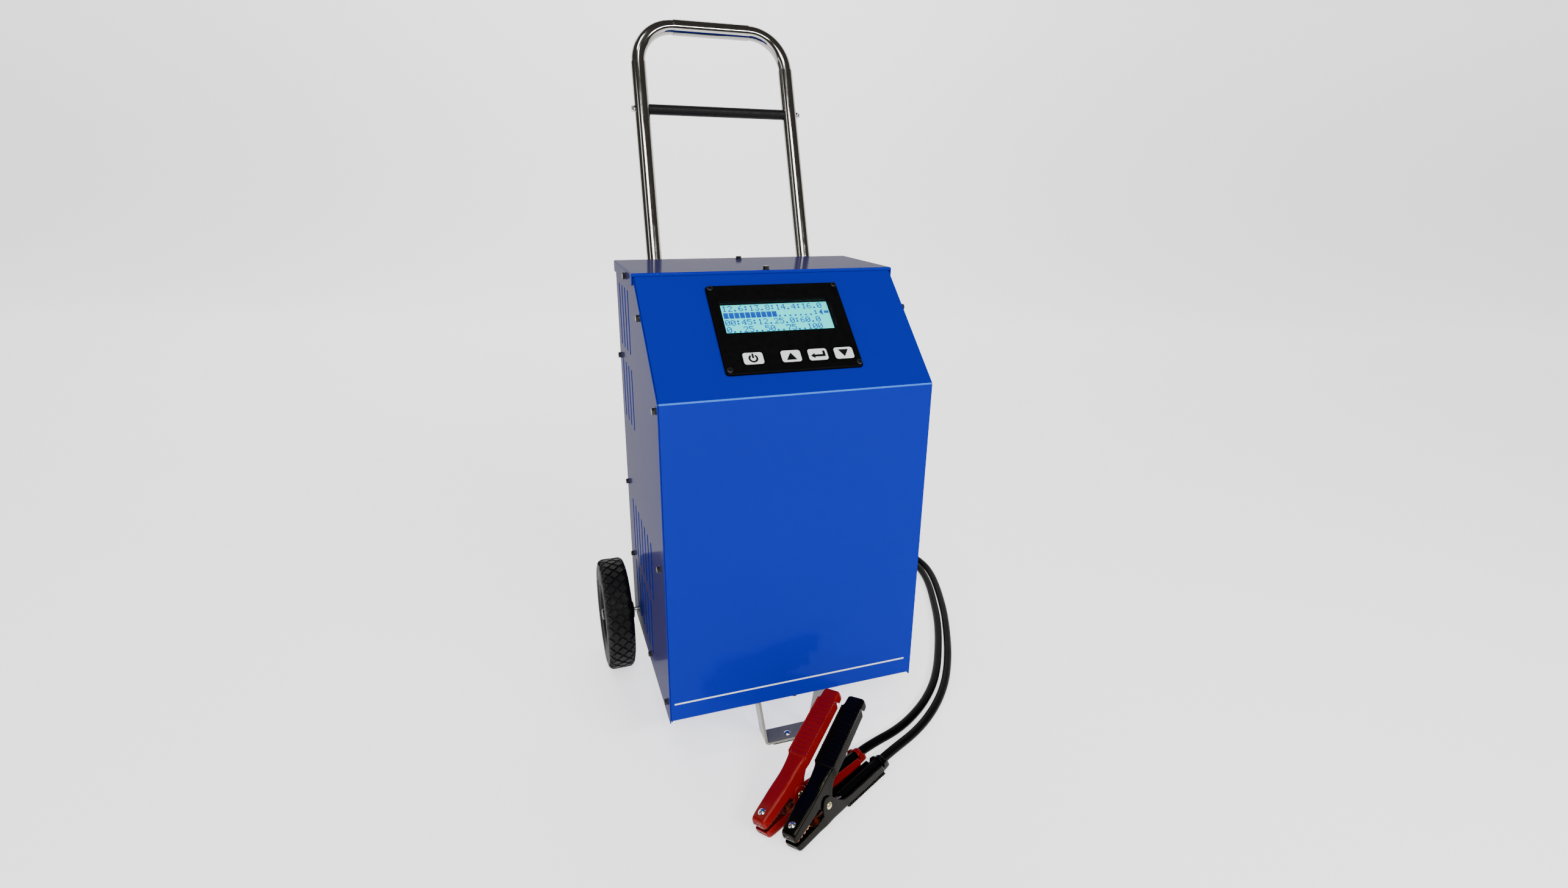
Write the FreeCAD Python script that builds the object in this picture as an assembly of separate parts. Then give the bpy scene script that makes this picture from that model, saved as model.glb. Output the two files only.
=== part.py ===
"""Wheeled car battery charger: a sheet-metal cabinet on two wheels and a foot, with a tube handle,
a slanted control panel and two output leads that end in spring clamps.

Modelling frame, millimetres: X to the right seen from the front, Y from the front panel to the back,
Z up from the cabinet's bottom edge. save() moves each shape to the frame the files use, whose origin
is on the floor under the middle of the cabinet, wheels and handle.
"""
import FreeCAD, Part
import math
import os

os.makedirs("parts", exist_ok=True)
V = FreeCAD.Vector
AXES = {"x": V(1, 0, 0), "y": V(0, 1, 0), "z": V(0, 0, 1)}

# driving dimensions
CABINET_WIDTH = 305.0
CABINET_DEPTH = 261.0
CABINET_HEIGHT = 489.0
BEND_HEIGHT = 377.0
COVER_FRONT = 121.0
FLOOR_GAP = 70.0
SHEET = 1.2
WHEEL_RADIUS = 76.2
WHEEL_WIDTH = 36.0
TUBE_RADIUS = 9.525
LEAD_RADIUS = 5.5
CLEARANCE = 0.3

# cabinet levels and faces
HALF_WIDTH = CABINET_WIDTH / 2
PANEL_INSIDE = HALF_WIDTH - SHEET
FLOOR = -FLOOR_GAP
COVER_UNDERSIDE = CABINET_HEIGHT - SHEET
SLOPE_TOP = CABINET_HEIGHT - 4.4
SLOPE_ANGLE = math.atan2(SLOPE_TOP - BEND_HEIGHT, COVER_FRONT)
SHELF_LEVEL = COVER_UNDERSIDE - 0.9
SHELF_FRONT = (SHELF_LEVEL - BEND_HEIGHT) / math.tan(SLOPE_ANGLE)
SIDE_DROP = 3.5
SIDE_REAR = CABINET_DEPTH + SHEET
BACK_INSIDE = CABINET_DEPTH - SHEET

# wheels and axle
AXLE_Y = 244.0
AXLE_Z = WHEEL_RADIUS - FLOOR_GAP
AXLE_RADIUS = 4.0
PAN_REAR = AXLE_Y - AXLE_RADIUS - 1.2
WHEEL_OUTER_X = 200.7
WHEEL_INNER_X = WHEEL_OUTER_X - WHEEL_WIDTH
HUB_RADIUS = 50.0

# handle
LEG_X = 101.3
HANDLE_TOP_X = 97.5
LEG_BACK_Y = CABINET_DEPTH + SHEET + TUBE_RADIUS + CLEARANCE
LEG_BOTTOM = 180.0
LEG_BEND_Z = 464.3
HANDLE_LEAN = 0.324
HANDLE_TOP_Z = 767.5
HANDLE_TOP_Y = LEG_BACK_Y + HANDLE_LEAN * (HANDLE_TOP_Z - LEG_BEND_Z)
HANDLE_CORNER = 48.0
CROSSBAR_Z = 667.3
CROSSBAR_Y = LEG_BACK_Y + HANDLE_LEAN * (CROSSBAR_Z - LEG_BEND_Z)
CROSSBAR_RADIUS = 6.35
CROSSBAR_LEG_X = LEG_X - (LEG_X - HANDLE_TOP_X) * (CROSSBAR_Z - LEG_BEND_Z) / (HANDLE_TOP_Z - LEG_BEND_Z)

# control panel, measured across (x) and up the slope (s) from the bend
BEZEL = (-77.5, 76.5, 27.0, 145.0)
BEZEL_HEIGHT = 3.2
PANEL_OPENING = (-69.0, 72.3, 35.0, 136.0)
WINDOW_OPENING = (-66.5, 61.0, 79.5, 122.5)
KEY_SIZE = (25.5, 16.5)
KEY_GAP = 0.5
KEY_S = 45.2
KEYS = {"power_key": -44.9, "up_key": -3.0, "enter_key": 27.4, "down_key": 57.6}
KEY_RISE = 0.4
BEZEL_SCREWS = ((-73.0, 31.8), (72.0, 31.8), (-73.0, 140.3), (72.0, 140.3))

# foot
FOOT_X = -3.0
FOOT_Y = (5.0, 29.0)
FOOT_BOLT_X = (-50.0, 50.0)
FOOT_BOLT_Y = 17.0
FOOT_RIVET = (-5.0, 15.4)
FOOT_METAL = 3.0
FOOT_PAD = 2.0

# back panel fittings
FAN_Z = 330.0
FAN_SIZE = 92.0
FAN_DEPTH = 25.0
FAN_BORE = 43.0
GLAND_Z = 42.0
LEAD_GLAND_X = {"black": -82.0, "red": -52.0}
MAINS_GLAND_X = 70.0
MAINS_BORE = 4.5
GLAND_LENGTH = 29.0

# fasteners: hexagon washer-head screws
SCREW_RADIUS = 2.0
SCREW_FLANGE = 4.0
SCREW_ACROSS = 6.35
SIDE_SCREWS = ((88.0, 446.6), (253.0, 372.0), (12.0, 367.0), (250.0, 200.0),
               (240.0, 97.0), (24.0, 184.0), (122.0, 12.0), (15.0, 18.0))
FLANGE_DEPTH = 30.0

# clamps: position of the pivot station and yaw, pitch, roll in degrees
CLAMPS = {
    "black": (V(-16.2, -120.6, -42.6), (33.6, -14.3, -14.9)),
    "red": (V(-39.2, -96.3, -42.8), (30.9, -14.2, -15.7)),
}
CLAMP_METAL = 1.6
CLAMP_NOSE = -54.7
EAR_HALF = 12.5
RIDGE_RADIUS = 1.5
RIDGE_RISE = 0.7
RIDGE_HALF = 9.4
CLAMP_TAIL = 104.0
NOSE_WEB = 11.8
PIVOT_WEB = 21.9
TAIL_WEB = 53.3
PIVOT_C = -1.8
PIN_RADIUS = 2.2

# leads: hand-laid routes; each is gland side, coil, then the run to its clamp
LEAD_Z = FLOOR + LEAD_RADIUS + 0.1
COIL_CENTRE = (60.0, 380.0)
COIL_RADIUS = {"black": 66.6, "red": 55.2}
COIL_START = 135.0
COIL_TURNS = 2.125
COIL_PITCH = 13.0
COIL_TOP_Z = LEAD_Z + COIL_PITCH * COIL_TURNS
LEAD_DROP = {
    "black": ((-82, 290, 42), (-82, 312, 40), (-77, 338, 30), (-58, 360, 12), (-37, 378, -7),
              (-17, 397, -24), (-2, 412, -33)),
    "red": ((-52, 290, 42), (-52, 312, 40), (-50, 334, 30), (-38, 357, 11), (-20, 376, -10),
            (-3, 394, -25), (9, 407, -33)),
}
LEAD_FLOOR = {
    "black": ((110, 448), (168, 453), (226, 461), (284, 465), (323, 454), (354, 426), (371, 384),
              (374, 348), (368, 313), (355, 273), (340, 234), (323, 194), (303, 154), (281, 113),
              (256, 72), (229, 35), (194, -1), (152, -32)),
    "red": ((110, 436), (168, 441), (226, 449), (284, 452), (317, 440), (343, 416), (358, 381),
            (360, 348), (354, 311), (341, 271), (325, 232), (308, 192), (288, 153), (266, 115),
            (241, 75), (213, 39), (177, 6), (132, -22)),
}
LEAD_TAIL = {
    "black": ((102.6, -57.9, -60.8), (70.7, -75.8, -59.0), (39.8, -93.1, -57.8), (10.7, -109.5, -57.2)),
    "red": ((82.7, -39.9, -61.1), (50.0, -56.1, -59.2), (18.2, -71.7, -58.0), (-11.7, -86.8, -57.4)),
}

# the origin of the files: on the floor, half way from the front panel to the handle's rear
ORIGIN_Y = (HANDLE_TOP_Y + TUBE_RADIUS) / 2


def save(name, shape):
    """Write one sub-part, moved to the frame the files use."""
    shape = shape.copy()
    shape.translate(V(0, -ORIGIN_Y, FLOOR_GAP))
    solids = shape.Solids
    result = solids[0] if len(solids) == 1 else Part.makeCompound(solids)
    valid = all(solid.isValid() for solid in solids)
    print(f"{name}: {len(solids)} solids, {result.Volume / 1000:.2f} cm3, valid {valid}")
    result.exportStep(f"parts/{name}.step")


def file_point(point):
    """A modelling point in the files' frame, in metres."""
    return [round(value / 1000, 5) for value in (point.x, point.y - ORIGIN_Y, point.z + FLOOR_GAP)]


def block(x, y, z):
    """A box from three (low, high) pairs."""
    return Part.makeBox(x[1] - x[0], y[1] - y[0], z[1] - z[0], V(x[0], y[0], z[0]))


def both_sides(x):
    return (-x, x)


def rod(start, direction, radius, length):
    return Part.makeCylinder(radius, length, start, direction)


def fuse(shapes):
    shapes = list(shapes)
    return shapes[0] if len(shapes) == 1 else shapes[0].multiFuse(shapes[1:]).removeSplitter()


def corner_arc(before, point, after, radius):
    """Start, middle and end of the arc that rounds one corner."""
    back = (before - point).normalize()
    ahead = (after - point).normalize()
    half = back.getAngle(ahead) / 2
    reach = radius / math.tan(half)
    centre = point + (back + ahead).normalize() * (radius / math.sin(half))
    middle = centre + (point - centre).normalize() * radius
    return point + back * reach, middle, point + ahead * reach


def rounded_wire(points, radii, closed):
    """Straight runs joined by tangent arcs; a radius of 0 leaves the corner sharp."""
    count = len(points)
    stops = []
    for i, point in enumerate(points):
        inner = closed or 0 < i < count - 1
        if inner and radii[i] > 0:
            stops.append(corner_arc(points[i - 1], point, points[(i + 1) % count], radii[i]))
        else:
            stops.append((point, None, point))
    edges = []
    for i, (start, middle, end) in enumerate(stops):
        if middle is not None:
            edges.append(Part.Arc(start, middle, end).toShape())
        if i < count - 1 or closed:
            following = stops[(i + 1) % count][0]
            if end.distanceToPoint(following) > 1e-6:
                edges.append(Part.LineSegment(end, following).toShape())
    return Part.Wire(edges)


def in_plane(axis, a, b, height):
    """A point of a plane across the axis: (y, z) for x, (x, z) for y, (x, y) for z."""
    return {"x": V(height, a, b), "y": V(a, height, b), "z": V(a, b, height)}[axis]


def prism(outline, axis, low, high, radii=0.0):
    """A closed outline, its corners rounded, extruded along an axis from low to high."""
    if isinstance(radii, (int, float)):
        radii = [radii] * len(outline)
    points = [in_plane(axis, a, b, low) for a, b in outline]
    face = Part.Face(rounded_wire(points, radii, True))
    return face.extrude(AXES[axis] * (high - low))


def sideways(line, distance):
    """The points of a line of runs moved to its left by a distance, mitred at the corners."""
    moved = []
    for i, (a, b) in enumerate(line):
        normals = []
        for j in (i - 1, i):
            if 0 <= j < len(line) - 1:
                run = (line[j + 1][0] - line[j][0], line[j + 1][1] - line[j][1])
                size = math.hypot(*run)
                normals.append((-run[1] / size, run[0] / size))
        first, last = normals[0], normals[-1]
        scale = distance / (1 + first[0] * last[0] + first[1] * last[1])
        if len(normals) == 1:
            scale = distance / 2
        moved.append((a + (first[0] + last[0]) * scale, b + (first[1] + last[1]) * scale))
    return moved


def strip(line, thickness, axis, low, high, bend=0.0):
    """Sheet folded along a line of runs, its thickness to the left (or right when negative)."""
    other = sideways(line, thickness)
    near, far = [0.0], [0.0]
    for i in range(1, len(line) - 1):
        (a, b), (c, d), (e, f) = line[i - 1], line[i], line[i + 1]
        turn = (c - a) * (f - d) - (d - b) * (e - c)
        inside_far = turn * thickness > 0
        near.append(bend + abs(thickness) if inside_far else bend)
        far.append(bend if inside_far else bend + abs(thickness))
    near.append(0.0)
    far.append(0.0)
    if bend == 0.0:
        near, far = [0.0] * len(line), [0.0] * len(line)
    return prism(list(line) + other[::-1], axis, low, high, near + far[::-1])


def rectangle(a, b):
    return [(a[0], b[0]), (a[1], b[0]), (a[1], b[1]), (a[0], b[1])]


def on_slope(shape):
    """Move a shape made flat, x across, y up and z outward, onto the slanted panel."""
    shape = shape.copy()
    shape.rotate(V(0, 0, 0), V(1, 0, 0), math.degrees(SLOPE_ANGLE))
    shape.translate(V(0, 0, BEND_HEIGHT))
    return shape


def hexagon(point, direction, across, height):
    """A hexagonal prism with lightly rounded top corners."""
    reach = across / math.sqrt(3)
    angles = [math.radians(60 * i) for i in range(7)]
    outline = Part.makePolygon([V(reach * math.cos(angle), reach * math.sin(angle), 0) for angle in angles])
    prism_shape = Part.Face(outline).extrude(V(0, 0, height))
    dome = Part.makeCone(across * 0.5 + height, across * 0.5 - 0.15, height)
    shape = prism_shape.common(dome)
    shape.Placement = FreeCAD.Placement(point, FreeCAD.Rotation(V(0, 0, 1), direction))
    return shape


def washer_screw(point, direction, shank):
    """A hexagon washer-head screw whose flange rests on a face at a point; direction is outward."""
    flange = rod(point, direction, SCREW_FLANGE, 0.9)
    head = hexagon(point + direction * 0.8, direction, SCREW_ACROSS, 3.2)
    return fuse([flange, head, rod(point - direction * shank, direction, SCREW_RADIUS, shank + 0.5)])


def screw_hole(point, direction, depth):
    return rod(point - direction * depth, direction, SCREW_RADIUS + 0.1, depth + 2)


# ---------------------------------------------------------------- cabinet

def side_points():
    """Where the screws of one side panel sit, as (y, z)."""
    return [V(0, y, z) for y, z in SIDE_SCREWS]


def side_hole_cutters(depth):
    cutters = []
    for side in (-1, 1):
        for spot in side_points():
            start = V(side * HALF_WIDTH, spot.y, spot.z)
            cutters.append(screw_hole(start, V(side, 0, 0), depth))
    return cutters


def cabinet_profile():
    """The folded line of the front panel, from its bottom flange to its top shelf."""
    return [(50.0, 0.0), (0.0, 0.0), (0.0, BEND_HEIGHT), (SHELF_FRONT, SHELF_LEVEL), (150.0, SHELF_LEVEL)]


def front_panel():
    line = cabinet_profile()
    face = strip(line, -SHEET, "x", -PANEL_INSIDE + 0.2, PANEL_INSIDE - 0.2, 1.5)
    flange_line = [(0.0, 0.0), (0.0, BEND_HEIGHT), (SHELF_FRONT, SHELF_LEVEL)]
    flanges = []
    for side in (-1, 1):
        low, high = sorted((side * (PANEL_INSIDE - 0.2 - SHEET), side * (PANEL_INSIDE - 0.2)))
        flanges.append(strip(flange_line, -FLANGE_DEPTH, "x", low, high))
    panel = fuse([face] + flanges)
    x0, x1, s0, s1 = PANEL_OPENING
    opening = on_slope(prism(rectangle((x0 - 0.5, x1 + 0.5), (s0 - 0.5, s1 + 0.5)), "z", -3, 1, 3.0))
    cutters = [opening] + side_hole_cutters(6)
    cutters += [on_slope(rod(V(x, s, -3), V(0, 0, 1), 1.8, 4)) for x, s in BEZEL_SCREWS]
    cutters.append(rod(V(0, 129, SHELF_LEVEL - 3), V(0, 0, 1), SCREW_RADIUS + 0.1, 6))
    cutters.append(rod(V(0, 8, -2), V(0, 0, 1), SCREW_RADIUS + 0.1, 6))
    cutters += [rod(V(FOOT_X + x, FOOT_BOLT_Y, -2), V(0, 0, 1), 3.1, 6) for x in FOOT_BOLT_X]
    return panel.cut(Part.makeCompound(cutters))


def base_pan():
    """The tray the transformer stands on, with upturned edges; it ends just ahead of the axle."""
    x, y, low, high = HALF_WIDTH - 4.0, (3.6, PAN_REAR), SHEET + 0.1, 24.0
    tray = block(both_sides(x), y, (low, high))
    tray = tray.cut(block(both_sides(x - SHEET), (y[0] + SHEET, y[1] - SHEET), (low + SHEET, high + 1)))
    notches = [block((side * 138.0 - 8, side * 138.0 + 8), (y[1] - 2, y[1] + 1), (low + SHEET, high + 1))
               for side in (-1, 1)]
    cutters = notches + side_hole_cutters(8)
    cutters.append(rod(V(0, 8, -2), V(0, 0, 1), SCREW_RADIUS + 0.1, 6))
    cutters += [rod(V(FOOT_X + x, FOOT_BOLT_Y, -2), V(0, 0, 1), 3.1, 6) for x in FOOT_BOLT_X]
    return tray.cut(Part.makeCompound(cutters))


def vent_slots(side):
    """Upright louvre slots cut through one side panel: two groups of two rows."""
    width, length, spacing = 7.0, 75.0, 22.4
    rows = [(236.0, 390.0, 4), (236.0, 297.0, 4), (219.0, 112.0, 7), (219.0, 23.0, 6)]
    low, high = sorted((side * (PANEL_INSIDE - 2), side * (HALF_WIDTH + 2)))
    slots = []
    for start, bottom, count in rows:
        for i in range(count):
            y = start - spacing * i
            outline = rectangle((y - width / 2, y + width / 2), (bottom, bottom + length))
            slots.append(prism(outline, "x", low, high, 2.0))
    return slots


def side_panel(side):
    """A flat side with its vents; it overlaps the flanges of the front, back and base."""
    edge = 1.6
    slope = math.tan(SLOPE_ANGLE)
    offset = edge / math.cos(SLOPE_ANGLE)
    top = COVER_UNDERSIDE - 0.2
    bend = BEND_HEIGHT + edge * slope - offset
    outline = [(edge, -SIDE_DROP), (edge, bend), ((top - BEND_HEIGHT + offset) / slope, top),
               (SIDE_REAR, top), (SIDE_REAR, -SIDE_DROP)]
    low, high = sorted((side * PANEL_INSIDE, side * HALF_WIDTH))
    panel = prism(outline, "x", low, high, [1.0, 4.0, 1.0, 1.0, 1.0])
    axle_hole = rod(V(side * (PANEL_INSIDE - 1), AXLE_Y, AXLE_Z), V(side, 0, 0), AXLE_RADIUS + 0.2, 4)
    flange_hole = screw_hole(V(side * HALF_WIDTH, 160, 482), V(side, 0, 0), 4)
    cutters = vent_slots(side) + side_hole_cutters(6) + [axle_hole, flange_hole]
    return panel.cut(Part.makeCompound(cutters))


def back_panel():
    """The back: a flat sheet with forward flanges, the fan opening and the gland holes."""
    x, top, depth = PANEL_INSIDE - 0.2, SHELF_LEVEL, 32.0
    shell = block(both_sides(x), (CABINET_DEPTH - depth, CABINET_DEPTH), (0.0, top))
    room = block(both_sides(x - SHEET), (CABINET_DEPTH - depth - 1, BACK_INSIDE), (-1, top - SHEET))
    cutters = side_hole_cutters(6)
    cutters.append(rod(V(0, BACK_INSIDE - 1, FAN_Z), V(0, 1, 0), FAN_BORE, 4))
    cutters.append(rod(V(0, 243, top - 3), V(0, 0, 1), SCREW_RADIUS + 0.1, 5))
    for side in (-1, 1):
        cutters.append(rod(V(side * (x - 2), AXLE_Y, AXLE_Z), V(side, 0, 0), AXLE_RADIUS + 0.2, 4))
        cutters.append(block((side * 138.0 - 8, side * 138.0 + 8), (BACK_INSIDE - 1, BACK_INSIDE), (0, 1)))
    for gland_x in list(LEAD_GLAND_X.values()) + [MAINS_GLAND_X]:
        cutters.append(rod(V(gland_x, BACK_INSIDE - 1, GLAND_Z), V(0, 1, 0), 9.0, 4))
    for spot in fan_screw_points() + saddle_screw_points():
        cutters.append(screw_hole(V(spot.x, CABINET_DEPTH, spot.z), V(0, 1, 0), 4))
    return shell.cut(room).cut(Part.makeCompound(cutters))


def top_cover():
    """A cap over the cabinet with turned-down side flanges and a small front lip."""
    x, front, rear, low = HALF_WIDTH + 1.9, COVER_FRONT, SIDE_REAR + 1.8, CABINET_HEIGHT - 13.0
    cap = block(both_sides(x), (front, rear), (low, CABINET_HEIGHT))
    edges = [edge for edge in cap.Edges
             if edge.BoundBox.ZMin > CABINET_HEIGHT - 0.1
             or (edge.BoundBox.ZLength > 5 and edge.BoundBox.YMin > front + 1)]
    cap = cap.makeFillet(1.6, edges)
    room = block(both_sides(x - SHEET), (front + SHEET, rear - SHEET), (low - 1, COVER_UNDERSIDE))
    mouth = block(both_sides(x - SHEET), (front - 1, front + SHEET + 1), (low - 1, CABINET_HEIGHT - 3.4))
    holes = [rod(V(0, y, COVER_UNDERSIDE - 1), V(0, 0, 1), SCREW_RADIUS + 0.1, 4) for y in (129, 243)]
    holes += [rod(V(side * (x - 3), 160, 482), V(side, 0, 0), SCREW_RADIUS + 0.1, 5) for side in (-1, 1)]
    return cap.cut(Part.makeCompound([room, mouth] + holes))


def cabinet_screws():
    """Every screw that holds the cabinet's sheets together."""
    screws = []
    for side in (-1, 1):
        out = V(side, 0, 0)
        screws += [washer_screw(V(side * HALF_WIDTH, spot.y, spot.z), out, 6.5) for spot in side_points()]
        screws.append(washer_screw(V(side * (HALF_WIDTH + 1.9), 160, 482), out, 5.0))
    screws += [washer_screw(V(0, y, CABINET_HEIGHT), V(0, 0, 1), 5.0) for y in (129, 243)]
    screws.append(washer_screw(V(0, 8, 0), V(0, 0, -1), 6.0))
    return Part.makeCompound(screws)


# ---------------------------------------------------------------- control panel

def control_bezel():
    """The moulded surround of the display and keys."""
    x0, x1, s0, s1 = BEZEL
    plate = prism(rectangle((x0, x1), (s0, s1)), "z", 0.0, BEZEL_HEIGHT, 4.0)
    plate = plate.makeFillet(1.4, [edge for edge in plate.Edges if edge.BoundBox.ZMin > BEZEL_HEIGHT - 0.1])
    a0, a1, b0, b1 = PANEL_OPENING
    rim = prism(rectangle((a0, a1), (b0, b1)), "z", -5.0, 0.5, 3.0)
    rim = rim.cut(prism(rectangle((a0 + 1.2, a1 - 1.2), (b0 + 1.2, b1 - 1.2)), "z", -6, 0.0, 2.0))
    w0, w1, v0, v1 = WINDOW_OPENING
    cutters = [prism(rectangle((w0, w1), (v0, v1)), "z", -1, BEZEL_HEIGHT + 1, 1.5)]
    for x in KEYS.values():
        cutters.append(prism(key_outline(x, KEY_GAP), "z", -1, BEZEL_HEIGHT + 1, 4.5))
    cutters += [rod(V(x, s, -1), V(0, 0, 1), 1.8, 6) for x, s in BEZEL_SCREWS]
    return on_slope(fuse([plate, rim]).cut(Part.makeCompound(cutters)))


def key_outline(x, grow):
    wide, high = KEY_SIZE[0] / 2 + grow, KEY_SIZE[1] / 2 + grow
    return rectangle((x - wide, x + wide), (KEY_S - high, KEY_S + high))


def key_cap(x):
    """A push key with a crowned edge, almost flush with the bezel."""
    cap = prism(key_outline(x, 0.0), "z", -3.0, BEZEL_HEIGHT + KEY_RISE, 4.0)
    top = [edge for edge in cap.Edges if edge.BoundBox.ZMin > BEZEL_HEIGHT]
    return on_slope(cap.makeFillet(0.5, top))


def lcd_window():
    w0, w1, v0, v1 = WINDOW_OPENING
    return on_slope(prism(rectangle((w0 - 0.8, w1 + 0.8), (v0 - 0.8, v1 + 0.8)), "z", -1.6, -0.05, 1.5))


def lcd_module():
    """The display's metal-framed body behind the window."""
    w0, w1, v0, v1 = WINDOW_OPENING
    frame = prism(rectangle((w0, w1), (v0, v1)), "z", -9.0, -1.7, 1.0)
    board = prism(rectangle((w0 - 0.6, w1 + 4.0), (v0 - 5.0, v1 + 5.0)), "z", -11.2, -9.0, 1.0)
    return on_slope(fuse([frame, board]))


def control_board():
    """The circuit board with its key switches, processor and connector."""
    board = prism(rectangle((-66.0, 66.0), (38.5, 133.0)), "z", -17.0, -15.4, 2.0)
    pieces = [board]
    for x in KEYS.values():
        pieces.append(block((x - 3, x + 3), (KEY_S - 3, KEY_S + 3), (-15.5, -6.0)))
        pieces.append(rod(V(x, KEY_S, -6.1), V(0, 0, 1), 1.7, 2.4))
    pieces.append(block((-20, 20), (90, 110), (-20.5, -16.9)))
    pieces.append(block((40, 58), (60, 72), (-27.0, -16.9)))
    pieces += [block((x - 3, x + 3), (96, 102), (-15.5, -11.3)) for x in (-62.0, 62.0)]
    return on_slope(fuse(pieces))


def bezel_screws():
    """Pan-head screws with a cross recess."""
    screws = []
    for x, s in BEZEL_SCREWS:
        head = rod(V(x, s, BEZEL_HEIGHT), V(0, 0, 1), 3.4, 2.0)
        head = head.makeFillet(1.2, [edge for edge in head.Edges if edge.BoundBox.ZMin > BEZEL_HEIGHT + 1.9])
        shank = rod(V(x, s, -4.0), V(0, 0, 1), 1.7, BEZEL_HEIGHT + 4.5)
        cross = [block((x - 1.9, x + 1.9), (s - 0.4, s + 0.4), (BEZEL_HEIGHT + 0.9, BEZEL_HEIGHT + 3)),
                 block((x - 0.4, x + 0.4), (s - 1.9, s + 1.9), (BEZEL_HEIGHT + 0.9, BEZEL_HEIGHT + 3))]
        screws.append(on_slope(head.fuse(shank).cut(Part.makeCompound(cross))))
    return Part.makeCompound(screws)


# ---------------------------------------------------------------- handle

def handle_points():
    """The centre line of the bent tube, from one leg's lower end over the top to the other."""
    right = [V(LEG_X, LEG_BACK_Y, LEG_BOTTOM), V(LEG_X, LEG_BACK_Y, LEG_BEND_Z),
             V(HANDLE_TOP_X, HANDLE_TOP_Y, HANDLE_TOP_Z)]
    left = [V(-point.x, point.y, point.z) for point in right]
    return left + right[::-1]


def tube_runs(points, radii, run_radius, bend_radius):
    """A round bar along straight runs and arcs; the bends may be drawn down to a smaller radius."""
    count = len(points)
    arcs = {}
    for i in range(1, count - 1):
        arcs[i] = corner_arc(points[i - 1], points[i], points[i + 1], radii[i])
    pieces = []
    for i in range(count - 1):
        start = arcs[i][2] if i in arcs else points[i]
        end = arcs[i + 1][0] if i + 1 in arcs else points[i + 1]
        pieces.append(rod(start, end - start, run_radius, start.distanceToPoint(end)))
    for i, (start, middle, end) in arcs.items():
        size = bend_radius if radii[i] == HANDLE_CORNER else run_radius
        spine = Part.Wire([Part.Arc(start, middle, end).toShape()])
        ring = Part.Wire([Part.makeCircle(size, start, points[i] - points[i - 1])])
        pieces.append(spine.makePipeShell([ring], True, False))
    return fuse(pieces)


def handle_tube():
    points = handle_points()
    radii = [0, 90.0, HANDLE_CORNER, HANDLE_CORNER, 90.0, 0]
    outside = tube_runs(points, radii, TUBE_RADIUS, TUBE_RADIUS - 0.8)
    inside = tube_runs(points, radii, TUBE_RADIUS - 1.6, TUBE_RADIUS - 1.6)
    holes = [rod(V(side * 70.0, CROSSBAR_Y, CROSSBAR_Z), V(side, 0, 0), SCREW_RADIUS + 0.2, 50)
             for side in (-1, 1)]
    return outside.cut(inside).cut(Part.makeCompound(holes))


def handle_crossbar():
    """The brace between the legs, its ends shaped to the tubes they meet."""
    bar = rod(V(-CROSSBAR_LEG_X, CROSSBAR_Y, CROSSBAR_Z), V(1, 0, 0), CROSSBAR_RADIUS, 2 * CROSSBAR_LEG_X)
    points = handle_points()
    legs = []
    for start, end in ((points[1], points[2]), (points[4], points[3])):
        legs.append(rod(start, end - start, TUBE_RADIUS, start.distanceToPoint(end)))
    bar = bar.cut(Part.makeCompound(legs))
    middle = [solid for solid in bar.Solids if solid.BoundBox.XLength > CROSSBAR_LEG_X][0]
    bore = rod(V(-HALF_WIDTH, CROSSBAR_Y, CROSSBAR_Z), V(1, 0, 0), SCREW_RADIUS, CABINET_WIDTH)
    return middle.cut(bore)


SADDLE_LEVELS = (215.0, 425.0)
SADDLE_HALF = 24.0


def saddle_screw_points():
    spots = []
    for side in (-1, 1):
        for level in SADDLE_LEVELS:
            spots += [V(side * LEG_X + shift, CABINET_DEPTH, level) for shift in (-18.0, 18.0)]
    return spots


def handle_saddles():
    """Folded straps that hold the legs against the back panel."""
    saddles = []
    reach = LEG_BACK_Y - CABINET_DEPTH + TUBE_RADIUS + CLEARANCE
    for side in (-1, 1):
        for level in SADDLE_LEVELS:
            middle, base = side * LEG_X, CABINET_DEPTH
            side_wall = TUBE_RADIUS + CLEARANCE
            left, right = middle - side_wall, middle + side_wall
            line = [(middle - SADDLE_HALF, base), (left, base), (left, base + reach),
                    (right, base + reach), (right, base), (middle + SADDLE_HALF, base)]
            saddle = strip(line, 2.0, "z", level - 10, level + 10, 1.0)
            saddles.append(saddle)
    holes = [rod(spot - V(0, 1, 0), V(0, 1, 0), SCREW_RADIUS + 0.1, 5) for spot in saddle_screw_points()]
    return Part.makeCompound([saddle.cut(Part.makeCompound(holes)) for saddle in saddles])


def handle_screws():
    """The saddle screws and the two that hold the crossbar through the legs."""
    screws = [washer_screw(spot + V(0, 2.0, 0), V(0, 1, 0), 8.0) for spot in saddle_screw_points()]
    for side in (-1, 1):
        start = V(side * (CROSSBAR_LEG_X + TUBE_RADIUS + 0.1), CROSSBAR_Y, CROSSBAR_Z)
        screws.append(washer_screw(start, V(side, 0, 0), 30.0))
    return Part.makeCompound(screws)


# ---------------------------------------------------------------- wheels and axle

def wheel_profile_solid(outline, side):
    """A ring turned about the axle from (x from the inner face, radius) points."""
    points = [V(side * (WHEEL_INNER_X + x), AXLE_Y, AXLE_Z + r) for x, r in outline]
    face = Part.Face(Part.makePolygon(points + points[:1]))
    return face.revolve(V(0, AXLE_Y, AXLE_Z), V(1, 0, 0), 360)


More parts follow.
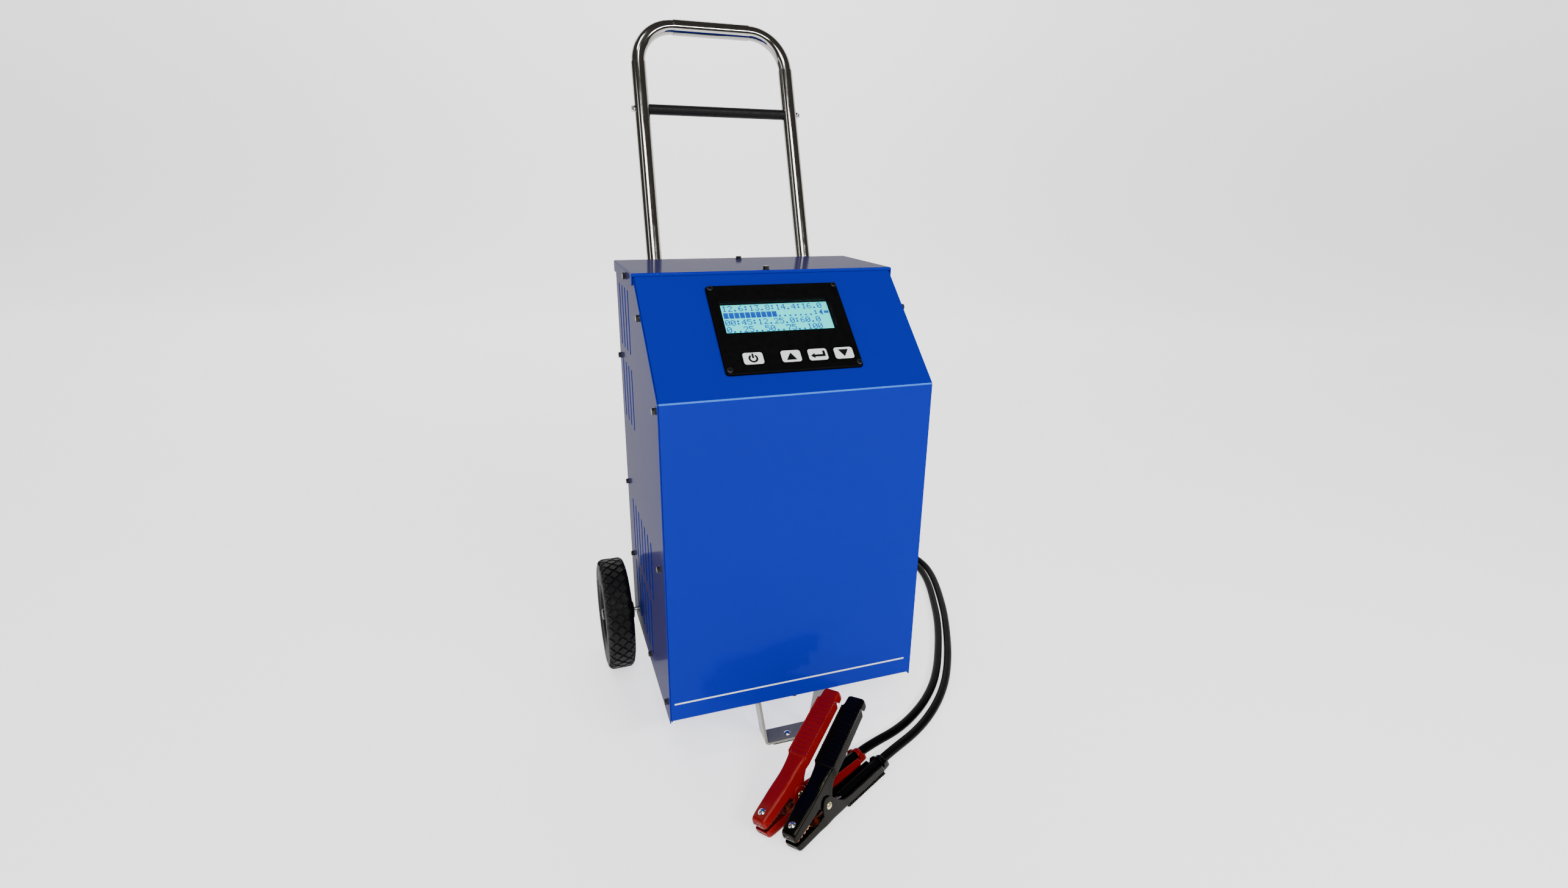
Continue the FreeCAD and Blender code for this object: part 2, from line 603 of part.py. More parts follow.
def tyre(side):
    """A solid rubber tyre with rounded shoulders and a grooved tread."""
    w, r = WHEEL_WIDTH, WHEEL_RADIUS
    outline = [(0, HUB_RADIUS), (0, r - 9), (1.2, r - 4.5), (4.2, r - 1.4), (8, r - 0.3), (11, r),
               (11.6, r - 2), (13.4, r - 2), (14, r),
               (w - 14, r), (w - 13.4, r - 2), (w - 11.6, r - 2), (w - 11, r),
               (w - 8, r - 0.3), (w - 4.2, r - 1.4), (w - 1.2, r - 4.5), (w, r - 9), (w, HUB_RADIUS)]
    return wheel_profile_solid(outline, side)


def hub(side):
    """The wheel's moulded centre: rim, dished web and a boss that runs on the axle."""
    w, bore = WHEEL_WIDTH, AXLE_RADIUS + 0.05
    outline = [(-7.5, bore), (-7.5, 11.5), (6, 11.5), (8, 13), (14, 40), (3, 45), (0.5, HUB_RADIUS),
               (w - 0.5, HUB_RADIUS), (w - 3, 45), (20, 40), (24, 15), (w - 4, 12), (w - 4, bore)]
    return wheel_profile_solid(outline, side)


def axle():
    reach = WHEEL_OUTER_X - 1.0
    bar = rod(V(-reach, AXLE_Y, AXLE_Z), V(1, 0, 0), AXLE_RADIUS, 2 * reach)
    ends = [edge for edge in bar.Edges if edge.Curve.TypeId == "Part::GeomCircle"]
    return bar.makeChamfer(0.6, ends)


def axle_brackets():
    """Two plates inside the cabinet that carry the axle, each with a foot on the base pan."""
    brackets = []
    low = SHEET + 0.1 + SHEET
    for side in (-1, 1):
        rear = BACK_INSIDE - 0.2
        plate = prism([(205, low), (rear, low), (rear, 30), (240, 42), (205, 20)], "x",
                      side * 138 - 1.5, side * 138 + 1.5, 0.0)
        foot_x = sorted((side * 139.5, side * 118.0))
        foot = block(foot_x, (205, PAN_REAR - SHEET - 0.4), (low, low + 2.5))
        bracket = fuse([plate, foot])
        brackets.append(bracket.cut(rod(V(side * 130, AXLE_Y, AXLE_Z), V(side, 0, 0), AXLE_RADIUS, 20)))
    return Part.makeCompound(brackets)


def axle_caps():
    """Domed push-on nuts outside the wheels."""
    caps = []
    for side in (-1, 1):
        start = V(side * (WHEEL_OUTER_X - 3.9), AXLE_Y, AXLE_Z)
        cap = rod(start, V(side, 0, 0), 7.5, 3.9)
        rim = [edge for edge in cap.Edges
               if edge.Curve.TypeId == "Part::GeomCircle" and abs(edge.Curve.Center.x) > WHEEL_OUTER_X - 0.1]
        cap = cap.makeFillet(2.4, rim)
        caps.append(cap.cut(rod(start - V(side, 0, 0), V(side, 0, 0), AXLE_RADIUS, 4.0)))
    return Part.makeCompound(caps)


# ---------------------------------------------------------------- foot

def foot_strap():
    """A bright strap folded into a U, bolted under the front of the cabinet."""
    base = FLOOR + FOOT_PAD + FOOT_METAL
    line = [(-60, 0), (-40.3, 0), (-30.5, base), (30.5, base), (40.3, 0), (60, 0)]
    line = [(FOOT_X + x, z) for x, z in line]
    strap = strip(line, -FOOT_METAL, "y", FOOT_Y[0], FOOT_Y[1], 3.0)
    holes = [rod(V(FOOT_X + x, FOOT_BOLT_Y, -4), V(0, 0, 1), 3.1, 6) for x in FOOT_BOLT_X]
    holes.append(rod(V(*FOOT_RIVET, FLOOR), V(0, 0, 1), 2.4, 8))
    return strap.cut(Part.makeCompound(holes))


def foot_pad():
    outline = rectangle((FOOT_X - 24, FOOT_X + 24), (FOOT_Y[0] + 0.5, FOOT_Y[1] - 0.5))
    pad = prism(outline, "z", FLOOR, FLOOR + FOOT_PAD, 3.0)
    return pad.cut(rod(V(*FOOT_RIVET, FLOOR - 1), V(0, 0, 1), 2.4, 5))


def foot_rivet():
    top = FLOOR + FOOT_PAD + FOOT_METAL
    dome = Part.makeSphere(5.6, V(*FOOT_RIVET, top - 3.4)).common(rod(V(*FOOT_RIVET, top), V(0, 0, 1), 6, 4))
    return fuse([dome, rod(V(*FOOT_RIVET, FLOOR + 0.4), V(0, 0, 1), 2.4, top - FLOOR)])


def foot_bolts():
    bolts = []
    for x in FOOT_BOLT_X:
        bottom = V(FOOT_X + x, FOOT_BOLT_Y, -FOOT_METAL)
        head = hexagon(bottom, V(0, 0, -1), 10.0, 4.0)
        shank = rod(bottom - V(0, 0, 0.5), V(0, 0, 1), 3.0, 16)
        nut = hexagon(V(FOOT_X + x, FOOT_BOLT_Y, 2 * SHEET + 0.1), V(0, 0, 1), 10.0, 5.0)
        bolts.append(fuse([head, shank, nut]))
    return Part.makeCompound(bolts)


# ---------------------------------------------------------------- inside the cabinet

CORE = ((-60.0, 60.0), (95.0, 165.0), (6.0, 106.0))
PAN_TOP = 2 * SHEET + 0.1


def transformer_core():
    """A stack of laminations with two windows, standing on welded angle feet."""
    x, y, z = CORE
    leg = 20.0
    core = block(x, y, z)
    windows = [block((x[0] + leg, x[0] + 2 * leg), (y[0] - 1, y[1] + 1), (z[0] + leg, z[1] - leg)),
               block((x[1] - 2 * leg, x[1] - leg), (y[0] - 1, y[1] + 1), (z[0] + leg, z[1] - leg))]
    feet = [block((x[0] - 10, x[1] + 10), span, (PAN_TOP, z[0] + 0.1)) for span in ((95, 115), (145, 165))]
    return fuse([core.cut(Part.makeCompound(windows))] + feet)


def transformer_coil():
    """The winding round the middle leg of the core."""
    x, y, z = CORE
    low, high = z[0] + 20.3, z[1] - 20.3
    outside = prism(rectangle((-39.7, 39.7), (y[0] - 19, y[1] + 19)), "z", low, high, 14.0)
    return outside.cut(block((-20.2, 20.2), (y[0] - 0.2, y[1] + 0.2), (low - 1, high + 1)))


def rectifier_heatsink():
    """An upright finned extrusion with a foot."""
    pieces = [block((92, 96), (70, 190), (PAN_TOP, 105)), block((80, 96), (70, 190), (PAN_TOP, PAN_TOP + 4))]
    pieces += [block((95.5, 128), (71 + 16.5 * i, 73.4 + 16.5 * i), (12, 105)) for i in range(8)]
    return fuse(pieces)


def rectifier_diodes():
    """Stud diodes seated on the flat of the heatsink."""
    diodes = []
    for y in (95.0, 165.0):
        for z in (40.0, 78.0):
            body = [hexagon(V(92, y, z), V(-1, 0, 0), 17.0, 5.0), rod(V(87.2, y, z), V(-1, 0, 0), 6.5, 7.0),
                    rod(V(80.4, y, z), V(-1, 0, 0), 1.6, 7.0)]
            diodes.append(fuse(body))
    return Part.makeCompound(diodes)


def circuit_breaker():
    """The self-resetting thermal breaker beside the transformer."""
    body = prism(rectangle((-118, -92), (110, 160)), "z", PAN_TOP, 34, 3.0)
    posts = [rod(V(-105, y, 33.5), V(0, 0, 1), 2.5, 14) for y in (122, 148)]
    return fuse([body] + posts)


def fan_screw_points():
    reach = FAN_SIZE / 2 - 5
    return [V(x, CABINET_DEPTH, FAN_Z + z) for x in (-reach, reach) for z in (-reach, reach)]


def fan_housing():
    rear, front = BACK_INSIDE, BACK_INSIDE - FAN_DEPTH
    half = FAN_SIZE / 2
    body = prism(rectangle((-half, half), (FAN_Z - half, FAN_Z + half)), "y", front, rear, 5.0)
    body = body.cut(rod(V(0, front - 1, FAN_Z), V(0, 1, 0), FAN_BORE, FAN_DEPTH + 2))
    motor = rod(V(0, front, FAN_Z), V(0, 1, 0), 17.0, 4.0)
    arms = [block((-FAN_BORE - 1, FAN_BORE + 1), (front, front + 3), (FAN_Z - 2, FAN_Z + 2)),
            block((-2, 2), (front, front + 3), (FAN_Z - FAN_BORE - 1, FAN_Z + FAN_BORE + 1))]
    body = fuse([body, motor] + arms)
    cutters = [rod(V(0, front - 1, FAN_Z), V(0, 1, 0), 2.05, 8)]
    cutters += [screw_hole(V(spot.x, rear, spot.z), V(0, 1, 0), FAN_DEPTH + 1) for spot in fan_screw_points()]
    return body.cut(Part.makeCompound(cutters))


def fan_rotor():
    """Seven pitched blades on a hub whose pin turns in the housing."""
    front = BACK_INSIDE - FAN_DEPTH
    centre = V(0, front, FAN_Z)
    pieces = [rod(centre + V(0, 5.0, 0), V(0, 1, 0), 18.0, 16.0),
              rod(centre + V(0, 0.5, 0), V(0, 1, 0), 2.0, 6.0)]
    for i in range(7):
        blade = Part.makeBox(25.5, 1.6, 22.0, V(16.0, -0.8, -11.0))
        blade.rotate(V(0, 0, 0), V(1, 0, 0), 50.0)
        blade.translate(V(0, front + 13.0, FAN_Z))
        blade.rotate(centre, V(0, 1, 0), 360.0 / 7 * i)
        pieces.append(blade)
    swept = rod(centre + V(0, 0.5, 0), V(0, 1, 0), FAN_BORE - 1.2, FAN_DEPTH - 3)
    return fuse(pieces).common(swept)


def fan_guard():
    """Wire rings and spokes over the fan opening, held by its four screws."""
    y = CABINET_DEPTH + 2.2
    rings = [Part.makeTorus(radius, 0.9, V(0, y, FAN_Z), V(0, 1, 0)) for radius in (12.0, 22.0, 32.0, 42.0)]
    spokes = []
    for spot in fan_screw_points():
        toward = V(spot.x, 0, spot.z - FAN_Z)
        length = toward.Length
        spokes.append(rod(V(0, y + 0.7, FAN_Z) + toward * (10.0 / length), toward, 0.9, length - 10.0))
        eye = rod(V(spot.x, CABINET_DEPTH, spot.z), V(0, 1, 0), 4.5, 3.0)
        spokes.append(eye)
    guard = fuse(rings + spokes)
    holes = [rod(V(spot.x, CABINET_DEPTH - 1, spot.z), V(0, 1, 0), SCREW_RADIUS + 0.1, 6)
             for spot in fan_screw_points()]
    return guard.cut(Part.makeCompound(holes))


# ---------------------------------------------------------------- glands and leads

def gland(x, bore):
    """A cable gland: collar, tapered nose and a lock nut inside the panel."""
    outside = V(x, CABINET_DEPTH, GLAND_Z)
    out = V(0, 1, 0)
    pieces = [rod(outside, out, 12.5, 6.0),
              Part.makeCone(11.0, 7.6, GLAND_LENGTH - 6.0, outside + out * 6.0, out),
              rod(outside - out * 8.0, out, 9.0, 8.5), hexagon(outside - out * SHEET, -out, 22.0, 5.5)]
    body = fuse(pieces)
    if bore > 0:
        body = body.cut(rod(outside - out * 12.0, out, bore, GLAND_LENGTH + 20))
    return body


def lead_radii(points):
    """The arc of each corner: as large as its two runs allow."""
    radii = [0.0]
    for i in range(1, len(points) - 1):
        back = points[i - 1] - points[i]
        ahead = points[i + 1] - points[i]
        turn = math.pi - back.getAngle(ahead)
        radii.append(0.45 * min(back.Length, ahead.Length) / math.tan(turn / 2))
    return radii + [0.0]


def lead_tube(points, name):
    """A round tube along the route; prints its tightest arc and checks its volume."""
    radii = lead_radii(points)
    spine = rounded_wire(points, radii, False)
    start = Part.Wire([Part.makeCircle(LEAD_RADIUS, points[0], points[1] - points[0])])
    tube = spine.makePipeShell([start], True, False)
    expected = math.pi * LEAD_RADIUS ** 2 * spine.Length
    print(f"{name}: length {spine.Length:.0f}, volume ratio {tube.Volume / expected:.4f}, arcs",
          [round(radius) for radius in radii[1:-1]])
    return tube


def coil_point(colour, turns):
    """A point of the coil after a number of turns, clockwise and downward from its start."""
    angle = math.radians(COIL_START - 360 * turns)
    radius = COIL_RADIUS[colour]
    return V(COIL_CENTRE[0] + radius * math.cos(angle), COIL_CENTRE[1] + radius * math.sin(angle),
             COIL_TOP_Z - COIL_PITCH * turns)


def lead_tubes(colour):
    drop = [V(*point) for point in LEAD_DROP[colour]] + [coil_point(colour, 0)]
    floor = [coil_point(colour, COIL_TURNS)] + [V(x, y, LEAD_Z) for x, y in LEAD_FLOOR[colour]]
    floor += [V(*point) for point in LEAD_TAIL[colour]]
    tubes = [lead_tube(drop, colour + " gland side"), lead_tube(floor, colour + " clamp side")]
    print(f"{colour} coil: {2 * math.pi * COIL_RADIUS[colour] * COIL_TURNS:.0f} mm of lead")
    return Part.makeCompound(tubes)


def lead_coil(colour):
    """The outer shape of the lead's wound turns."""
    radius = COIL_RADIUS[colour]
    low, high = LEAD_Z - LEAD_RADIUS, COIL_TOP_Z + LEAD_RADIUS
    centre = V(COIL_CENTRE[0], COIL_CENTRE[1], low)
    outside = rod(centre, V(0, 0, 1), radius + LEAD_RADIUS, high - low)
    return outside.cut(rod(centre - V(0, 0, 1), V(0, 0, 1), radius - LEAD_RADIUS, high - low + 2))


# ---------------------------------------------------------------- clamps
# Clamp frame: a from the jaws to the handles, b to the left, c up; the jaws close on c = 0.

def web_height(a):
    if a < 0:
        return PIVOT_WEB + (PIVOT_WEB - NOSE_WEB) * a / -CLAMP_NOSE
    return PIVOT_WEB + (TAIL_WEB - PIVOT_WEB) * a / CLAMP_TAIL


def channel_section(a, half, top, bottom, corner, flip):
    """The U-shaped section of a pressed half at one station."""
    wall = CLAMP_METAL
    inner = half - wall
    outline = [(-half, bottom), (-half, top), (half, top), (half, bottom),
               (inner, bottom), (inner, top - wall), (-inner, top - wall), (-inner, bottom)]
    radii = [0, corner, corner, 0, 0, corner - 1.2, corner - 1.2, 0]
    points = [V(a, b, c * flip) for b, c in outline]
    return rounded_wire(points, radii, True)


# stations of a pressed half: a, half width, web drop below the straight line, flange depth below the web
UPPER_STATIONS = (
    (-54.7, 8.2, 4.6, 4.2), (-53.6, 8.9, 1.6, 8.3), (-51.5, 9.4, 0.2, 10.4), (-46.0, 9.8, 0.0, 11.4),
    (-22.0, 10.6, 0.0, 13.4), (-12.0, 10.6, 0.0, 14.6), (-8.5, 10.4, 0.0, 24.0), (-5.0, 10.4, 0.0, 28.6),
    (0.0, 10.4, 0.0, 31.0), (5.0, 10.4, 0.0, 30.4), (8.5, 10.5, 0.0, 27.0), (14.0, 11.0, 0.0, 18.0),
    (20.0, 11.8, 0.0, 13.0), (25.0, 13.8, 0.0, 11.6), (60.0, 13.5, 0.0, 11.4), (91.0, 12.8, 0.0, 11.4),
    (93.5, 11.8, 0.3, 5.5), (96.5, 11.8, 0.5, 11.0), (101.5, 11.4, 0.8, 10.6), (103.4, 10.6, 1.8, 9.0),
    (104.4, 9.4, 3.4, 6.4))
LOWER_STATIONS = (
    (-54.7, 8.2, 4.6, 4.2), (-53.6, 8.9, 1.6, 8.3), (-51.5, 9.4, 0.2, 10.0), (-46.0, 9.9, 0.0, 10.6),
    (-22.0, 11.2, 0.0, 11.4), (-12.0, 12.4, 0.0, 14.6), (-8.5, 12.5, 0.0, 24.0), (-5.0, 12.5, 0.0, 29.0),
    (0.0, 12.5, 0.0, 31.6), (5.0, 12.5, 0.0, 30.6), (8.5, 12.5, 0.0, 27.0), (14.0, 12.4, 0.0, 18.0),
    (20.0, 12.2, 0.0, 13.0), (28.0, 12.4, 0.0, 11.6), (60.0, 12.2, 0.0, 11.4), (91.0, 11.6, 0.0, 11.4),
    (93.5, 11.0, 0.3, 5.5), (96.5, 10.8, 0.5, 11.0), (101.5, 10.4, 0.8, 10.6), (104.4, 9.8, 1.0, 9.0))


def pressed_half(stations, flip):
    """A pressed channel from nose to tail, with grip ridges across its back."""
    wires = []
    for a, half, drop, depth in stations:
        top = web_height(a) - drop
        wires.append(channel_section(a, half, top, top - depth, min(3.0, depth * 0.6), flip))
    shell = Part.makeLoft(wires, True, True)
    nose = block((CLAMP_NOSE, CLAMP_NOSE + CLAMP_METAL), both_sides(7.6), (2.6, 5.4))
    ridges = []
    for i in range(13):
        a = 26.0 + 5.0 * i
        level = web_height(a) - RIDGE_RADIUS + RIDGE_RISE
        ridge = rod(V(a, -RIDGE_HALF, level), V(0, 1, 0), RIDGE_RADIUS, 2 * RIDGE_HALF)
        ridges.append(ridge)
    extras = [nose] + ridges
    if flip < 0:
        extras = [shape.mirror(V(0, 0, 0), V(0, 0, 1)) for shape in extras]
    return fuse([shell] + extras)


def pivot_bore(radius):
    return rod(V(0, -20, PIVOT_C), V(0, 1, 0), radius, 40)


def upper_handle():
    """The upper half, with the seat of the jaw rivet cut to its shape."""
    return pressed_half(UPPER_STATIONS, 1).cut(pivot_bore(PIN_RADIUS + 0.06)).cut(jaw_rivet())


def lower_handle():
    """The lower half, with a tab folded round the lead at its tail."""
    half = pressed_half(LOWER_STATIONS, -1)
    seat = -web_height(98.0) + 7.2
    slope = math.atan2(TAIL_WEB - PIVOT_WEB, CLAMP_TAIL)
    along = V(math.cos(slope), 0, -math.sin(slope))
    start = V(95.5, 0, seat + math.tan(slope) * 2.5)
    ring = rod(start, along, LEAD_RADIUS + 2.1, 7.0).cut(rod(start - along, along, LEAD_RADIUS + 0.15, 10.0))
    return fuse([half, ring]).cut(pivot_bore(PIN_RADIUS))


def pivot_pin():
    pin = rod(V(0, -EAR_HALF - 0.7, PIVOT_C), V(0, 1, 0), PIN_RADIUS, 2 * EAR_HALF + 1.4)
    heads = []
    for side in (-1, 1):
        face = V(0, side * EAR_HALF, PIVOT_C)
        dome = Part.makeSphere(5.2, face - V(0, side * 3.4, 0))
        heads.append(dome.common(rod(face, V(0, side, 0), 4.2, 3.0)))
    return fuse([pin] + heads)


def clamp_spring():
    """The turns of the torsion spring on the pin, and its leg to the lower half."""
    turns = [Part.makeTorus(4.3, 1.0, V(0, b, PIVOT_C), V(0, 1, 0)) for b in (-4.5, -2.6, -0.7, 1.2, 3.1)]
    leg = rod(V(0, -5.4, PIVOT_C - 4.3), V(1, 0, -0.47), 1.0, 26.0)
    return fuse(turns + [leg])


def lower_jaw():
    """The copper contact strip of the lower half and the stripped end of the lead it carries."""
    line = [(-12, -15.2), (-24, -12.0), (-30, -1.6), (-51, -1.6)]
    contact = strip(line, -1.2, "y", -6.4, 6.4, 1.5)
    teeth = [block((-50.0 + 5.2 * i, -47.4 + 5.2 * i), (-7.3, 7.3), (-1.6, -0.3)) for i in range(4)]
    core = rod(V(24, 0, -web_height(24) + 7.2), V(-0.965, 0, 0.262), 3.1, 40.0)
    return fuse([contact, core] + teeth)


def upper_jaw():
    """The copper contact strip of the upper half, its free end rolled over."""
    line = [(-51, 1.6), (-26, 1.6), (-19.5, 4.6), (-18.5, 9.0), (-22.5, 11.6), (-26.0, 9.6)]
    contact = strip(line, -1.2, "y", -6.4, 6.4, 1.4)
    teeth = [block((-47.4 + 5.2 * i, -44.8 + 5.2 * i), (-7.3, 7.3), (0.4, 1.7)) for i in range(4)]
    return fuse([contact] + teeth)


def jaw_rivet():
    """The domed rivet that holds the copper strip under the upper half."""
    a = CLAMP_NOSE + 11
    top = web_height(a)
    dome = Part.makeSphere(5.4, V(a, 0, top - 3.2)).common(rod(V(a, 0, top), V(0, 0, 1), 4.6, 3.0))
    return fuse([dome, rod(V(a, 0, 1.7), V(0, 0, 1), 1.9, top - 1.2)])


CLAMP_PIECES = {
    "lower_handle": lower_handle, "upper_handle": upper_handle, "pivot_pin": pivot_pin,
    "spring": clamp_spring, "lower_jaw": lower_jaw, "upper_jaw": upper_jaw, "jaw_rivet": jaw_rivet,
}


def placed_clamp_piece(shape, colour):
    position, (yaw, pitch, roll) = CLAMPS[colour]
    shape = shape.copy()
    placement = FreeCAD.Placement(position, FreeCAD.Rotation(yaw, pitch, roll))
    shape.Placement = placement.multiply(shape.Placement)
    return shape


# ---------------------------------------------------------------- build

def build():
    save("front_panel", front_panel())
    save("base_pan", base_pan())
    save("left_side_panel", side_panel(-1))
    save("right_side_panel", side_panel(1))
    save("back_panel", back_panel())
    save("top_cover", top_cover())
    save("cabinet_screws", cabinet_screws())
    save("control_bezel", control_bezel())
    save("lcd_window", lcd_window())
    save("lcd_module", lcd_module())
    save("control_board", control_board())
    save("bezel_screws", bezel_screws())
    for name, x in KEYS.items():
        save(name, key_cap(x))
    save("handle_tube", handle_tube())
    save("handle_crossbar", handle_crossbar())
    save("handle_saddles", handle_saddles())
    save("handle_screws", handle_screws())
    for name, side in (("left", -1), ("right", 1)):
        save(name + "_tyre", tyre(side))
        save(name + "_hub", hub(side))
    save("axle", axle())
    save("axle_brackets", axle_brackets())
    save("axle_caps", axle_caps())
    save("foot_strap", foot_strap())
    save("foot_pad", foot_pad())
    save("foot_rivet", foot_rivet())
    save("foot_bolts", foot_bolts())
    save("transformer_core", transformer_core())
    save("transformer_coil", transformer_coil())
    save("rectifier_heatsink", rectifier_heatsink())
    save("rectifier_diodes", rectifier_diodes())
    save("circuit_breaker", circuit_breaker())
    save("fan_housing", fan_housing())
    save("fan_rotor", fan_rotor())
    save("fan_guard", fan_guard())
    save("mains_gland", gland(MAINS_GLAND_X, MAINS_BORE))
    save("lead_glands", Part.makeCompound([gland(x, 0.0) for x in LEAD_GLAND_X.values()]))
    for colour in ("black", "red"):
        save(colour + "_lead", lead_tubes(colour))
        save(colour + "_lead_coil", lead_coil(colour))
    for piece, make in CLAMP_PIECES.items():
        shape = make()
        for colour in CLAMPS:
            placed = placed_clamp_piece(shape, colour)
            save(f"{colour}_clamp_{piece}", placed)
            if piece in ("lower_handle", "spring", "lower_jaw"):
                print(f"   lowest point above the floor: {placed.BoundBox.ZMin - FLOOR:.2f}")


def print_joints():
    """The joints' places and directions in the files' frame."""
    print("axle", file_point(V(0, AXLE_Y, AXLE_Z)), "fan", file_point(V(0, BACK_INSIDE, FAN_Z)))
    print("key press direction", [0, round(math.sin(SLOPE_ANGLE), 6), round(-math.cos(SLOPE_ANGLE), 6)])
    for colour, (position, (yaw, pitch, roll)) in CLAMPS.items():
        turn = FreeCAD.Rotation(yaw, pitch, roll)
        pivot = position + turn.multVec(V(0, 0, PIVOT_C))
        axis = turn.multVec(V(0, 1, 0))
        print(colour, "clamp pivot", file_point(pivot), "axis", [round(v, 6) for v in axis])
    print("origin y in the modelling frame", round(ORIGIN_Y, 3))


build()
print_joints()
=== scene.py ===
import math

import bmesh
import bpy
from mathutils import Euler, Matrix, Vector


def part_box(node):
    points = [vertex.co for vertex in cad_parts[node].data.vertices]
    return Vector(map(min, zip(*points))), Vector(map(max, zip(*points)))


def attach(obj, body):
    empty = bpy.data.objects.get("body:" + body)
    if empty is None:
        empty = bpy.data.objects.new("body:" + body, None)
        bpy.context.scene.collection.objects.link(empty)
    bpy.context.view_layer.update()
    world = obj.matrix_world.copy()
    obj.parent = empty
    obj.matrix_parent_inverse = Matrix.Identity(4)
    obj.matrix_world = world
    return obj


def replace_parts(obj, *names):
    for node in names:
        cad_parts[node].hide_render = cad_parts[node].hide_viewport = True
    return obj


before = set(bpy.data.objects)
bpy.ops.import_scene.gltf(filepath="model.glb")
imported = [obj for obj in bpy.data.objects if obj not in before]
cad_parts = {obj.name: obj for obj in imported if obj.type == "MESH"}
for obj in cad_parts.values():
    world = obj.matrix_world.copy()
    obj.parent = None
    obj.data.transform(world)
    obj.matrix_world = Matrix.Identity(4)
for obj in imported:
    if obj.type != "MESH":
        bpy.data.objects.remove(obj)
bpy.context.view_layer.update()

MM = 0.001

# the cabinet's front bottom edge, from which the design's sizes are measured
FRONT_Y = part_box("front_panel")[0].y
CABINET_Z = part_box("front_panel")[0].z
FLOOR_Z = 0.0


def laid(x, y, z):
    """A point given from the cabinet's front bottom edge, in metres, in the row frame."""
    return Vector((x, FRONT_Y + y, CABINET_Z + z))


# ---------------------------------------------------------------- camera

CAMERA_AZIMUTH = -19.452
CAMERA_ELEVATION = 19.332
CAMERA_ROLL = 0.878
CAMERA_PLACE = laid(-0.2720, -0.7115, 0.5880)
CAMERA_LENS = 17.44
SENSOR_WIDTH = 36.0
CLIP_NEAR, CLIP_FAR = 0.01, 50.0


def make_camera():
    """The camera: its axes are worked out from azimuth, elevation and roll in degrees."""
    azimuth, elevation, roll = (math.radians(v) for v in (CAMERA_AZIMUTH, CAMERA_ELEVATION, CAMERA_ROLL))
    back = Vector((math.sin(azimuth) * math.cos(elevation), -math.cos(azimuth) * math.cos(elevation),
                   math.sin(elevation)))
    right = Vector((math.cos(azimuth), math.sin(azimuth), 0))
    up = back.cross(right)
    rolled_right = right * math.cos(roll) + up * math.sin(roll)
    rolled_up = up * math.cos(roll) - right * math.sin(roll)
    data = bpy.data.cameras.new("camera")
    data.lens = CAMERA_LENS
    data.sensor_width = SENSOR_WIDTH
    data.clip_start, data.clip_end = CLIP_NEAR, CLIP_FAR
    camera = bpy.data.objects.new("camera", data)
    axes = Matrix((rolled_right, rolled_up, back)).transposed()
    camera.matrix_world = Matrix.Translation(CAMERA_PLACE) @ axes.to_4x4()
    bpy.context.scene.collection.objects.link(camera)
    bpy.context.scene.camera = camera


# ---------------------------------------------------------------- materials

